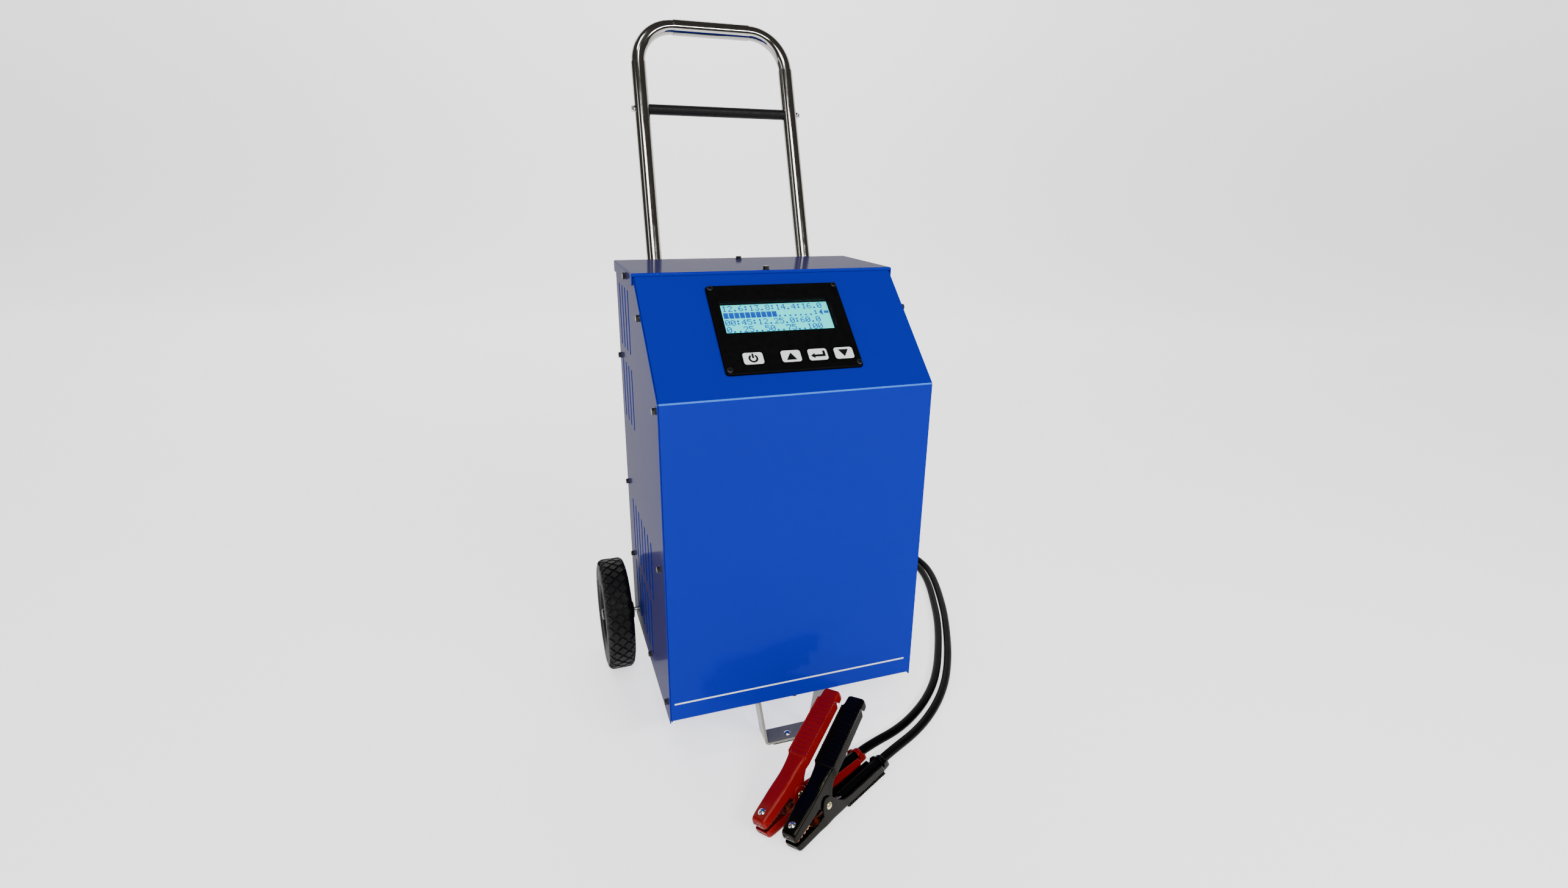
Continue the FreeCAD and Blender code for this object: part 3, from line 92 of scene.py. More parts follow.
class Finish:
    """A Principled material that gathers colour variation, roughness variation and bump."""

    def __init__(self, name, colour, roughness, **sockets):
        self.material = bpy.data.materials.new(name)
        self.material.use_nodes = True
        self.tree = self.material.node_tree
        self.shader = self.tree.nodes["Principled BSDF"]
        self.colour = None
        self.normal = None
        self.shader.inputs["Base Color"].default_value = (*colour, 1)
        self.shader.inputs["Roughness"].default_value = roughness
        for socket, value in sockets.items():
            self.shader.inputs[socket.replace("_", " ")].default_value = value
        self.place = self.tree.nodes.new("ShaderNodeTexCoord").outputs["Object"]

    def node(self, kind, **values):
        node = self.tree.nodes.new("ShaderNode" + kind)
        for name, value in values.items():
            setattr(node, name, value)
        return node

    def link(self, start, end):
        self.tree.links.new(start, end)

    def stretched(self, scale):
        """The object's coordinates, scaled."""
        mapping = self.node("Mapping")
        self.link(self.place, mapping.inputs["Vector"])
        mapping.inputs["Scale"].default_value = scale
        return mapping.outputs["Vector"]

    def noise(self, scale, detail=4.0, vector=None):
        noise = self.node("TexNoise")
        noise.inputs["Scale"].default_value = scale
        noise.inputs["Detail"].default_value = detail
        self.link(vector or self.place, noise.inputs["Vector"])
        return noise.outputs["Fac"]

    def waves(self, scale, vector=None, direction="X"):
        wave = self.node("TexWave", bands_direction=direction)
        wave.inputs["Scale"].default_value = scale
        wave.inputs["Distortion"].default_value = 0.0
        self.link(vector or self.place, wave.inputs["Vector"])
        return wave.outputs["Fac"]

    def spread(self, value, low, high, start=0.3, end=0.7):
        """Map a factor's useful span onto low to high."""
        spread = self.node("MapRange")
        self.link(value, spread.inputs["Value"])
        for socket, number in (("From Min", start), ("From Max", end), ("To Min", low), ("To Max", high)):
            spread.inputs[socket].default_value = number
        return spread.outputs["Result"]

    def tint(self, factor, colour):
        """Mix another colour over the base where factor is 1."""
        mix = self.node("Mix", data_type="RGBA")
        if self.colour is None:
            mix.inputs["A"].default_value = self.shader.inputs["Base Color"].default_value
        else:
            self.link(self.colour, mix.inputs["A"])
        mix.inputs["B"].default_value = (*colour, 1)
        self.link(factor, mix.inputs["Factor"])
        self.colour = mix.outputs["Result"]
        self.link(self.colour, self.shader.inputs["Base Color"])
        return self

    def roughen(self, factor, low, high):
        self.link(self.spread(factor, low, high), self.shader.inputs["Roughness"])
        return self

    def bump(self, height, strength, depth):
        bump = self.node("Bump")
        bump.inputs["Strength"].default_value = strength
        bump.inputs["Distance"].default_value = depth
        self.link(height, bump.inputs["Height"])
        if self.normal is not None:
            self.link(self.normal, bump.inputs["Normal"])
        self.normal = bump.outputs["Normal"]
        self.link(self.normal, self.shader.inputs["Normal"])
        return self

    def edge_wear(self, colour, amount=0.5):
        """Lighten convex edges, broken up by noise."""
        geometry = self.node("NewGeometry")
        edge = self.spread(geometry.outputs["Pointiness"], 0.0, 1.0, 0.53, 0.60)
        broken = self.node("Math", operation="MULTIPLY")
        self.link(edge, broken.inputs[0])
        self.link(self.spread(self.noise(180.0), 0.0, amount), broken.inputs[1])
        return self.tint(broken.outputs["Value"], colour)


def blue_paint(name="blue_paint"):
    """Glossy blue powder coat: faint orange peel, slight shade changes, and a painted grey sheen where seen
    edge on.
    """
    paint = Finish(name, (0.0, 0.007, 0.25), 0.40, Specular_IOR_Level=0.0,
                   Coat_Weight=0.15, Coat_Roughness=0.12)
    paint.tint(paint.spread(paint.noise(3.5), 0.0, 0.5), (0.0, 0.010, 0.28))
    # painted sheen: the base colour is mixed towards grey at glancing angles, in place of the light the coat
    # reflects there
    painted_sheen_weight = paint.node("LayerWeight")
    painted_sheen_weight.inputs["Blend"].default_value = 0.5
    paint.tint(paint.spread(painted_sheen_weight.outputs["Facing"], 0.0, 0.80, 0.60, 0.88), (0.040, 0.034, 0.040))
    paint.roughen(paint.noise(40.0, 6.0), 0.34, 0.50)
    return paint.bump(paint.noise(420.0, 2.0), 0.02, 0.0002)


LINE_FROM, LINE_TO, LINE_Z, LINE_HALF = -0.147, 0.142, 0.0232, 0.0010
# height and half width of the painted highlight band along the front's bend
BEND_HIGHLIGHT_Z, BEND_HIGHLIGHT_HALF = 0.3765, 0.0009


def printed_paint_and_bend_highlight():
    """The front's paint: a thin white line near its bottom edge, and a painted highlight, a paler blue band,
    along its bend.
    """
    paint = blue_paint("blue_paint_front")
    axes = paint.node("SeparateXYZ")
    paint.link(paint.place, axes.inputs["Vector"])

    def within(axis, middle, half):
        band = paint.node("Math", operation="COMPARE")
        paint.link(axes.outputs[axis], band.inputs[0])
        band.inputs[1].default_value = middle
        band.inputs[2].default_value = half
        return band.outputs["Value"]

    both = paint.node("Math", operation="MULTIPLY")
    paint.link(within("X", (LINE_FROM + LINE_TO) / 2, (LINE_TO - LINE_FROM) / 2), both.inputs[0])
    paint.link(within("Z", CABINET_Z + LINE_Z, LINE_HALF), both.inputs[1])
    paint.tint(both.outputs["Value"], (0.72, 0.74, 0.76))
    # painted highlight: a paler blue band along the bend stands in for the light the bend catches
    return paint.tint(within("Z", CABINET_Z + BEND_HIGHLIGHT_Z, BEND_HIGHLIGHT_HALF), (0.03, 0.14, 0.58))


def chrome():
    """Bright plated tube with drawing lines and a few dull patches."""
    metal = Finish("bright_chrome", (0.36, 0.35, 0.33), 0.1, Metallic=1.0)
    metal.tint(metal.spread(metal.noise(14.0, 6.0), 0.0, 0.5), (0.35, 0.34, 0.32))
    metal.roughen(metal.noise(60.0, 4.0), 0.05, 0.11)
    drawn = metal.stretched((500.0, 500.0, 8.0))
    return metal.bump(metal.noise(1.0, 2.0, drawn), 0.02, 0.0001)


def zinc(name, colour=(0.50, 0.50, 0.48), roughness=(0.24, 0.42), metallic=1.0):
    """Zinc plate: soft spangle, rolling lines, dull spots."""
    metal = Finish(name, colour, 0.3, Metallic=metallic)
    spangle = metal.node("TexVoronoi")
    spangle.inputs["Scale"].default_value = 260.0
    metal.link(metal.place, spangle.inputs["Vector"])
    darker = tuple(0.68 * part for part in colour)
    metal.tint(metal.spread(spangle.outputs["Distance"], 0.0, 0.35, 0.1, 0.9), darker)
    metal.roughen(metal.noise(90.0, 6.0), *roughness)
    rolled = metal.stretched((60.0, 1400.0, 60.0))
    return metal.bump(metal.noise(1.0, 3.0, rolled), 0.08, 0.0002)


def black_oxide():
    """Black oxide screws, rubbed brighter on their corners."""
    metal = Finish("black_oxide", (0.004, 0.004, 0.0045), 0.3, Specular_IOR_Level=0.35)
    metal.roughen(metal.noise(400.0, 6.0), 0.22, 0.38)
    metal.bump(metal.noise(1500.0, 3.0), 0.06, 0.0002)
    return metal.edge_wear((0.05, 0.05, 0.052), 0.6)


def black_moulding(name="black_moulding", colour=(0.002, 0.002, 0.0022)):
    """Fine-textured black moulding."""
    plastic = Finish(name, colour, 0.5, Specular_IOR_Level=0.15)
    plastic.tint(plastic.spread(plastic.noise(25.0, 5.0), 0.0, 0.6), (0.004, 0.004, 0.0045))
    plastic.roughen(plastic.noise(160.0, 4.0), 0.42, 0.60)
    return plastic.bump(plastic.noise(2600.0, 2.0), 0.20, 0.0002)


def bezel_film():
    """The control surround and the keys' film: satin black, with a very fine grain."""
    film = Finish("bezel_film", (0.001, 0.001, 0.001), 0.46, Specular_IOR_Level=0.04)
    film.roughen(film.noise(12.0, 2.0), 0.45, 0.49)
    film.bump(film.noise(3800.0, 2.0), 0.01, 0.0001)
    return film.edge_wear((0.010, 0.010, 0.011), 0.12)


def rubber(name="tyre_rubber"):
    """Moulded rubber: dusty in places, fine pores."""
    material = Finish(name, (0.0025, 0.0025, 0.0024), 0.62, Specular_IOR_Level=0.16)
    material.tint(material.spread(material.noise(45.0, 8.0), 0.0, 0.55), (0.007, 0.007, 0.0065))
    material.roughen(material.noise(120.0, 6.0), 0.48, 0.72)
    return material.bump(material.noise(1300.0, 4.0), 0.22, 0.0003)


def lead_jacket():
    """Black cable jacket: satin, with faint drawing marks and dust."""
    jacket = Finish("lead_jacket", (0.0005, 0.0005, 0.0005), 0.40, Specular_IOR_Level=0.03)
    jacket.tint(jacket.spread(jacket.noise(70.0, 8.0), 0.0, 0.5), (0.002, 0.002, 0.0018))
    jacket.roughen(jacket.noise(45.0, 6.0), 0.34, 0.44)
    return jacket.bump(jacket.noise(900.0, 4.0), 0.12, 0.0003)


def dipped_vinyl(name, colour, light):
    """Glossy dipped coating over pressed steel: flowing unevenness and fine scuffs."""
    vinyl = Finish(name, colour, 0.18, Specular_IOR_Level=0.10, Specular_Tint=(1.0, 0.92, 0.70, 1))
    vinyl.tint(vinyl.spread(vinyl.noise(60.0, 5.0), 0.0, 0.5), light)
    vinyl.roughen(vinyl.noise(240.0, 8.0), 0.12, 0.20)
    vinyl.bump(vinyl.noise(95.0, 2.0), 0.04, 0.0010)
    return vinyl.bump(vinyl.noise(1100.0, 4.0), 0.02, 0.0003)


def copper():
    """Bare copper with darker tarnish in its hollows and bright rubbed edges."""
    metal = Finish("bare_copper", (0.80, 0.32, 0.17), 0.26, Metallic=1.0)
    metal.tint(metal.spread(metal.noise(160.0, 8.0), 0.0, 0.75), (0.30, 0.10, 0.05))
    metal.roughen(metal.noise(320.0, 6.0), 0.16, 0.42)
    metal.bump(metal.noise(700.0, 5.0), 0.25, 0.0004)
    return metal.edge_wear((0.95, 0.50, 0.30), 0.7)


def brass():
    metal = Finish("yellow_plate", (0.60, 0.52, 0.26), 0.28, Metallic=1.0)
    metal.tint(metal.spread(metal.noise(220.0, 6.0), 0.0, 0.6), (0.38, 0.34, 0.20))
    metal.roughen(metal.noise(500.0, 4.0), 0.20, 0.40)
    return metal.bump(metal.noise(1800.0, 3.0), 0.10, 0.0002)


def laminations():
    """Varnished transformer laminations, seen as fine stacked lines."""
    metal = Finish("laminations", (0.16, 0.13, 0.11), 0.45, Metallic=0.6)
    lines = metal.waves(320.0, direction="Y")
    metal.tint(metal.spread(lines, 0.0, 0.6, 0.2, 0.9), (0.05, 0.04, 0.035))
    metal.roughen(metal.noise(60.0, 6.0), 0.35, 0.6)
    return metal.bump(lines, 0.4, 0.0003)


def winding():
    """Lacquered winding: close turns of copper wire."""
    metal = Finish("winding", (0.36, 0.11, 0.045), 0.32, Metallic=0.7, Coat_Weight=0.6, Coat_Roughness=0.2)
    turns = metal.waves(210.0, direction="Z")
    metal.tint(metal.spread(turns, 0.0, 0.8, 0.2, 0.8), (0.12, 0.035, 0.015))
    return metal.bump(turns, 0.8, 0.0008)


def circuit_board():
    board = Finish("circuit_board", (0.012, 0.10, 0.035), 0.35)
    traces = board.node("TexBrick")
    traces.inputs["Scale"].default_value = 90.0
    board.link(board.place, traces.inputs["Vector"])
    board.tint(board.spread(traces.outputs["Fac"], 0.0, 0.7, 0.4, 0.6), (0.03, 0.20, 0.08))
    return board.bump(board.noise(700.0, 3.0), 0.1, 0.0003)


def key_white():
    """White key print under a clear satin film."""
    film = Finish("key_white", (0.76, 0.78, 0.79), 0.35, Coat_Weight=0.3, Coat_Roughness=0.25)
    film.tint(film.spread(film.noise(60.0, 5.0), 0.0, 0.5), (0.66, 0.68, 0.69))
    film.roughen(film.noise(120.0, 4.0), 0.30, 0.44)
    return film.bump(film.noise(3000.0, 2.0), 0.06, 0.0001)


def key_ink():
    ink = Finish("key_ink", (0.002, 0.002, 0.002), 0.5, Specular_IOR_Level=0.1)
    ink.roughen(ink.noise(200.0, 4.0), 0.34, 0.48)
    return ink.bump(ink.noise(3000.0, 2.0), 0.05, 0.0001)


def lcd_lit():
    """The lit cell: pale green-blue, a little brighter towards its lamps."""
    cell = Finish("lcd_lit", (0.0, 0.60, 0.58), 0.3, Emission_Strength=1.1)
    glow = cell.spread(cell.noise(9.0, 2.0), 0.0, 0.5)
    cell.tint(glow, (0.0, 0.66, 0.64))
    cell.link(cell.colour, cell.shader.inputs["Emission Color"])
    return cell.bump(cell.waves(1080.0), 0.05, 0.00005)


def lcd_ink():
    """The darkened dots of the display."""
    dots = Finish("lcd_ink", (0.0, 0.055, 0.40), 0.3, Emission_Strength=0.30)
    dots.tint(dots.spread(dots.noise(60.0, 2.0), 0.0, 0.5), (0.0, 0.07, 0.44))
    dots.link(dots.colour, dots.shader.inputs["Emission Color"])
    return dots


def clear_window():
    window = Finish("clear_window", (0.95, 0.97, 0.96), 0.02, Metallic=1.0)
    window.roughen(window.noise(30.0, 6.0), 0.01, 0.05)
    mirror = window.node("Fresnel")
    mirror.inputs["IOR"].default_value = 1.4
    window.link(mirror.outputs["Fac"], window.shader.inputs["Alpha"])
    return window


def spring_wire():
    metal = Finish("spring_wire", (0.30, 0.30, 0.31), 0.35, Metallic=1.0)
    metal.tint(metal.spread(metal.noise(200.0, 6.0), 0.0, 0.6), (0.16, 0.15, 0.15))
    return metal.roughen(metal.noise(500.0, 4.0), 0.28, 0.5)


def floor_paint():
    floor = Finish("studio_floor", (0.90, 0.90, 0.90), 0.55,
                   Emission_Color=(1, 1, 1, 1), Emission_Strength=1.15)
    return floor.roughen(floor.noise(6.0), 0.50, 0.62)


def make_materials():
    made = {
        "paint": blue_paint(), "front": printed_paint_and_bend_highlight(), "chrome": chrome(),
        "zinc": zinc("zinc_plate", (0.22, 0.215, 0.175), (0.30, 0.42), 0.35),
        "steel": zinc("bright_steel", (0.66, 0.66, 0.66), (0.14, 0.30)), "screw": black_oxide(),
        "moulding": black_moulding(), "bezel": bezel_film(), "tyre": rubber(), "pad": rubber("pad_rubber"),
        "jacket": lead_jacket(), "copper": copper(), "brass": brass(), "core": laminations(),
        "winding": winding(), "board": circuit_board(), "key": key_white(), "ink": key_ink(),
        "lit": lcd_lit(), "dots": lcd_ink(), "window": clear_window(),
        "spring": spring_wire(), "floor": floor_paint(),
        "black_vinyl": dipped_vinyl("black_vinyl", (0.001, 0.001, 0.001), (0.002, 0.002, 0.002)),
        "red_vinyl": dipped_vinyl("red_vinyl", (0.165, 0.004, 0.005), (0.20, 0.006, 0.007)),
        "aluminium": zinc("extruded_aluminium", (0.72, 0.73, 0.74), (0.28, 0.45)),
        "crossbar": black_moulding("black_enamel", (0.001, 0.001, 0.001)),
    }
    return {name: finish.material for name, finish in made.items()}


NODE_FINISHES = {
    "paint": ("left_side_panel", "right_side_panel", "back_panel", "top_cover", "base_pan"),
    "front": ("front_panel",),
    "screw": ("cabinet_screws", "bezel_screws", "axle_caps"),
    "bezel": ("control_bezel", "power_key", "up_key", "enter_key", "down_key"),
    "window": ("lcd_window",),
    "moulding": ("lcd_module", "left_hub", "right_hub", "mains_gland", "lead_glands", "fan_housing",
                 "fan_rotor", "circuit_breaker"),
    "board": ("control_board",),
    "chrome": ("handle_tube",),
    "crossbar": ("handle_crossbar",),
    "steel": ("handle_screws", "axle", "foot_rivet", "foot_bolts", "fan_guard", "rectifier_diodes",
              "black_clamp_jaw_rivet", "red_clamp_jaw_rivet"),
    "zinc": ("foot_strap", "handle_saddles", "axle_brackets"),
    "pad": ("foot_pad",),
    "core": ("transformer_core",),
    "winding": ("transformer_coil",),
    "aluminium": ("rectifier_heatsink",),
    "copper": ("black_clamp_lower_jaw", "black_clamp_upper_jaw",
               "red_clamp_lower_jaw", "red_clamp_upper_jaw"),
    "brass": ("black_clamp_pivot_pin", "red_clamp_pivot_pin"),
    "spring": ("black_clamp_spring", "red_clamp_spring"),
    "black_vinyl": ("black_clamp_lower_handle", "black_clamp_upper_handle"),
    "red_vinyl": ("red_clamp_lower_handle", "red_clamp_upper_handle"),
    "tyre": ("left_tyre", "right_tyre"),
    "jacket": ("black_lead", "red_lead", "black_lead_coil", "red_lead_coil"),
}


def finish_cad_nodes(materials):
    for name, nodes in NODE_FINISHES.items():
        for node in nodes:
            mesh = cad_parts[node].data
            mesh.materials.clear()
            mesh.materials.append(materials[name])


# ---------------------------------------------------------------- helpers for pieces

def add_object(name, data, material, body):
    piece = bpy.data.objects.new(name, data)
    bpy.context.scene.collection.objects.link(piece)
    data.materials.append(material)
    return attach(piece, body)


def mesh_piece(name, bm, material, body, smooth_angle=35.0):
    bmesh.ops.recalc_face_normals(bm, faces=bm.faces)
    mesh = bpy.data.meshes.new(name)
    bm.to_mesh(mesh)
    bm.free()
    mesh.polygons.foreach_set("use_smooth", [True] * len(mesh.polygons))
    mesh.set_sharp_from_angle(angle=math.radians(smooth_angle))
    return add_object(name, mesh, material, body)


# ---------------------------------------------------------------- leads

LEAD_RADIUS = 5.5 * MM
LEAD_Z = -0.0644
COIL_CENTRE = (0.060, 0.380)
COIL_RADIUS = {"black": 0.0666, "red": 0.0552}
COIL_START = 135.0
COIL_TURNS = 2.125
COIL_PITCH = 0.013
COIL_STEPS = 16
LEAD_DROP = {
    "black": ((-0.082, 0.290, 0.042), (-0.082, 0.312, 0.040), (-0.077, 0.338, 0.030), (-0.058, 0.360, 0.012),
              (-0.037, 0.378, -0.007), (-0.017, 0.397, -0.024), (-0.002, 0.412, -0.033)),
    "red": ((-0.052, 0.290, 0.042), (-0.052, 0.312, 0.040), (-0.050, 0.334, 0.030), (-0.038, 0.357, 0.011),
            (-0.020, 0.376, -0.010), (-0.003, 0.394, -0.025), (0.009, 0.407, -0.033)),
}
LEAD_FLOOR = {
    "black": ((0.110, 0.448), (0.168, 0.453), (0.226, 0.461), (0.284, 0.465), (0.323, 0.454), (0.354, 0.426),
              (0.371, 0.384), (0.374, 0.348), (0.368, 0.313), (0.355, 0.273), (0.340, 0.234), (0.323, 0.194),
              (0.303, 0.154), (0.281, 0.113), (0.256, 0.072), (0.229, 0.035), (0.194, -0.001),
              (0.152, -0.032)),
    "red": ((0.110, 0.436), (0.168, 0.441), (0.226, 0.449), (0.284, 0.452), (0.317, 0.440), (0.343, 0.416),
            (0.358, 0.381), (0.360, 0.348), (0.354, 0.311), (0.341, 0.271), (0.325, 0.232), (0.308, 0.192),
            (0.288, 0.153), (0.266, 0.115), (0.241, 0.075), (0.213, 0.039), (0.177, 0.006), (0.132, -0.022)),
}
LEAD_TAIL = {
    "black": ((0.1026, -0.0579, -0.0608), (0.0707, -0.0758, -0.0590), (0.0398, -0.0931, -0.0578),
              (0.0107, -0.1095, -0.0572)),
    "red": ((0.0827, -0.0399, -0.0611), (0.0500, -0.0561, -0.0592), (0.0182, -0.0717, -0.0580),
            (-0.0117, -0.0868, -0.0574)),
}


def coil_points(colour):
    """The turns of a lead's coil, clockwise and downward from its start."""
    points = []
    steps = round(COIL_TURNS * COIL_STEPS)
    for step in range(steps + 1):
        turns = step / COIL_STEPS
        angle = math.radians(COIL_START - 360 * turns)
        x = COIL_CENTRE[0] + COIL_RADIUS[colour] * math.cos(angle)
        y = COIL_CENTRE[1] + COIL_RADIUS[colour] * math.sin(angle)
        points.append((x, y, LEAD_Z + COIL_PITCH * (COIL_TURNS - turns)))
    return points


def make_lead(colour, material):
    """One output lead: a smooth curve from its gland, through its coil, to its clamp."""
    route = list(LEAD_DROP[colour]) + coil_points(colour)
    route += [(x, y, LEAD_Z) for x, y in LEAD_FLOOR[colour]] + list(LEAD_TAIL[colour])
    points = [laid(*point) for point in route]
    curve = bpy.data.curves.new(colour + "_lead_cable", "CURVE")
    curve.dimensions = "3D"
    curve.bevel_depth = LEAD_RADIUS
    curve.bevel_resolution = 6
    curve.resolution_u = 8
    curve.use_fill_caps = True
    spline = curve.splines.new("NURBS")
    spline.points.add(len(points) - 1)
    for point, place in zip(spline.points, points):
        point.co = (*place, 1)
    spline.order_u = 3
    spline.use_endpoint_u = True
    lead = add_object(colour + "_lead_cable", curve, material, "cabinet")
    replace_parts(lead, colour + "_lead", colour + "_lead_coil")


# ---------------------------------------------------------------- control panel print

SLOPE_RISE, SLOPE_RUN, BEND_HEIGHT = 0.1076, 0.121, 0.377
SLOPE_ANGLE = math.atan2(SLOPE_RISE, SLOPE_RUN)
BEND = laid(0, 0, BEND_HEIGHT)
KEY_TOP = 3.6 * MM
KEY_S = 45.2 * MM
KEYS = {"power_key": -44.9 * MM, "up_key": -3.0 * MM, "enter_key": 27.4 * MM, "down_key": 57.6 * MM}
PRINT_GAP = 0.04 * MM
FACE_X, FACE_S, FACE_CORNER = 10.9 * MM, 7.4 * MM, 3.0 * MM


def on_panel(x, s, h):
    """A point of the slanted panel: across, up the slope from the bend, and out from its face."""
    sin, cos = math.sin(SLOPE_ANGLE), math.cos(SLOPE_ANGLE)
    return BEND + Vector((x, s * cos - h * sin, s * sin + h * cos))


def flat_shape(bm, outline, height):
    """Add one flat outline of (x, s) points, in metres, to a mesh on the panel."""
    bm.faces.new([bm.verts.new(on_panel(x, s, height)) for x, s in outline])


def power_sign(bm, x, s, height):
    """A broken ring with a short bar, as on any power key."""
    steps, inner, outer = 28, 3.1 * MM, 5.3 * MM
    gap = math.radians(32)
    for i in range(steps):
        a0, a1 = (math.pi / 2 + gap + (2 * math.pi - 2 * gap) * j / steps for j in (i, i + 1))
        ring = [(inner, a0), (outer, a0), (outer, a1), (inner, a1)]
        flat_shape(bm, [(x + r * math.cos(a), s + r * math.sin(a)) for r, a in ring], height)
    bar, low, high = 1.1 * MM, 0.2 * MM, 6.2 * MM
    flat_shape(bm, [(x - bar, s + low), (x + bar, s + low), (x + bar, s + high), (x - bar, s + high)], height)


def triangle_sign(bm, x, s, height, way):
    half, tall = 6.0 * MM, 4.8 * MM
    flat_shape(bm, [(x - half, s - way * tall), (x + half, s - way * tall), (x, s + way * tall)], height)


def enter_sign(bm, x, s, height):
    """A bent arrow: a bar to the left with a head, and a short upright at its right end."""
    thin, reach, rise = 1.5 * MM, 8.6 * MM, 4.6 * MM
    drop = 1.4 * MM
    low, high = s - drop - thin, s - drop + thin
    left = x - reach + 4 * MM
    flat_shape(bm, [(left, low), (x + reach, low), (x + reach, high), (left, high)], height)
    flat_shape(bm, [(x + reach - 2 * thin, high), (x + reach, high), (x + reach, s + rise),
                    (x + reach - 2 * thin, s + rise)], height)
    flat_shape(bm, [(x - reach, s - drop), (x - reach + 5.0 * MM, s - drop - 3.6 * MM),
                    (x - reach + 5.0 * MM, s - drop + 3.6 * MM)], height)


def key_face(bm, x, s, height):
    """The printed face of a key: a rectangle with rounded corners."""
    outline = []
    for across, along, start in ((1, 1, 0), (-1, 1, 90), (-1, -1, 180), (1, -1, 270)):
        for step in range(7):
            angle = math.radians(start + 15 * step)
            outline.append((x + across * (FACE_X - FACE_CORNER) + FACE_CORNER * math.cos(angle),
                            s + along * (FACE_S - FACE_CORNER) + FACE_CORNER * math.sin(angle)))
    flat_shape(bm, outline, height)


def make_key_signs(material, white):
    height = KEY_TOP + 2 * PRINT_GAP
    for name, x in KEYS.items():
        face = bmesh.new()
        key_face(face, x, KEY_S, KEY_TOP + PRINT_GAP)
        mesh_piece(name + "_face", face, white, name)
        bm = bmesh.new()
        if name == "power_key":
            power_sign(bm, x, KEY_S, height)
        elif name == "enter_key":
            enter_sign(bm, x, KEY_S, height)
        else:
            triangle_sign(bm, x, KEY_S, height, 1 if name == "up_key" else -1)
        mesh_piece(name + "_sign", bm, material, name)


# the display: 20 characters by 4 lines of 5 by 8 dots, showing only numbers, a bar and an arrow
LCD_X = (-64.0 * MM, 58.5 * MM)
LCD_S = (82.0 * MM, 120.0 * MM)
LCD_HEIGHT = -1.68 * MM
LCD_COLUMNS, LCD_ROWS = 20, 4
LCD_LINES = ("12.6:13.8:14.4:16.0 ", "##########.......:<-", "00:45:12.25.0:60.0  ", "0..25..50..75..100  ")
GLYPHS = {
    "0": "01110 10001 10011 10101 11001 10001 01110", "1": "00100 01100 00100 00100 00100 00100 01110",
    "2": "01110 10001 00001 00010 00100 01000 11111", "3": "11111 00010 00100 00010 00001 10001 01110",
    "4": "00010 00110 01010 10010 11111 00010 00010", "5": "11111 10000 11110 00001 00001 10001 01110",
    "6": "00110 01000 10000 11110 10001 10001 01110", "7": "11111 10001 00001 00010 00100 00100 00100",
    "8": "01110 10001 10001 01110 10001 10001 01110", "9": "01110 10001 10001 01111 00001 00010 01100",
    ".": "00000 00000 00000 00000 00000 01100 01100", "#": "11111 11111 11111 11111 11111 11111 11111",
    ":": "00000 01100 01100 00000 01100 01100 00000",
    "<": "00010 00110 01110 11110 01110 00110 00010", "-": "00000 00000 11111 11111 11111 00000 00000",
}


def make_display(materials):
    lit = bmesh.new()
    rim = 0.6 * MM
    flat_shape(lit, [(LCD_X[0] - rim, LCD_S[0] - rim), (LCD_X[1] + rim, LCD_S[0] - rim),
                     (LCD_X[1] + rim, LCD_S[1] + rim), (LCD_X[0] - rim, LCD_S[1] + rim)], LCD_HEIGHT)
    mesh_piece("lcd_cell", lit, materials["lit"], "cabinet")
    dots = bmesh.new()
    column = (LCD_X[1] - LCD_X[0]) / LCD_COLUMNS
    line = (LCD_S[1] - LCD_S[0]) / LCD_ROWS
    wide, tall = column / 6, line / 8.6
    for row, text in enumerate(LCD_LINES):
        for place, letter in enumerate(text):
            for j, bits in enumerate(GLYPHS.get(letter, "").split()):
                for i, bit in enumerate(bits):
                    if bit == "1":
                        x = LCD_X[0] + column * place + wide * (i + 0.5)
                        s = LCD_S[1] - line * row - tall * (j + 1.4)
                        right, top = x + wide * 1.25, s + tall * 1.05
                        flat_shape(dots, [(x, s), (right, s), (right, top), (x, top)], LCD_HEIGHT + 0.02 * MM)
    mesh_piece("lcd_dots", dots, materials["dots"], "cabinet")


# ---------------------------------------------------------------- tyres

TREAD_BLOCK = 16.0 * MM
TREAD_DEPTH = 2.2 * MM
TREAD_GROOVE = 1.5 * MM
TREAD_CHAMFER = 0.7 * MM


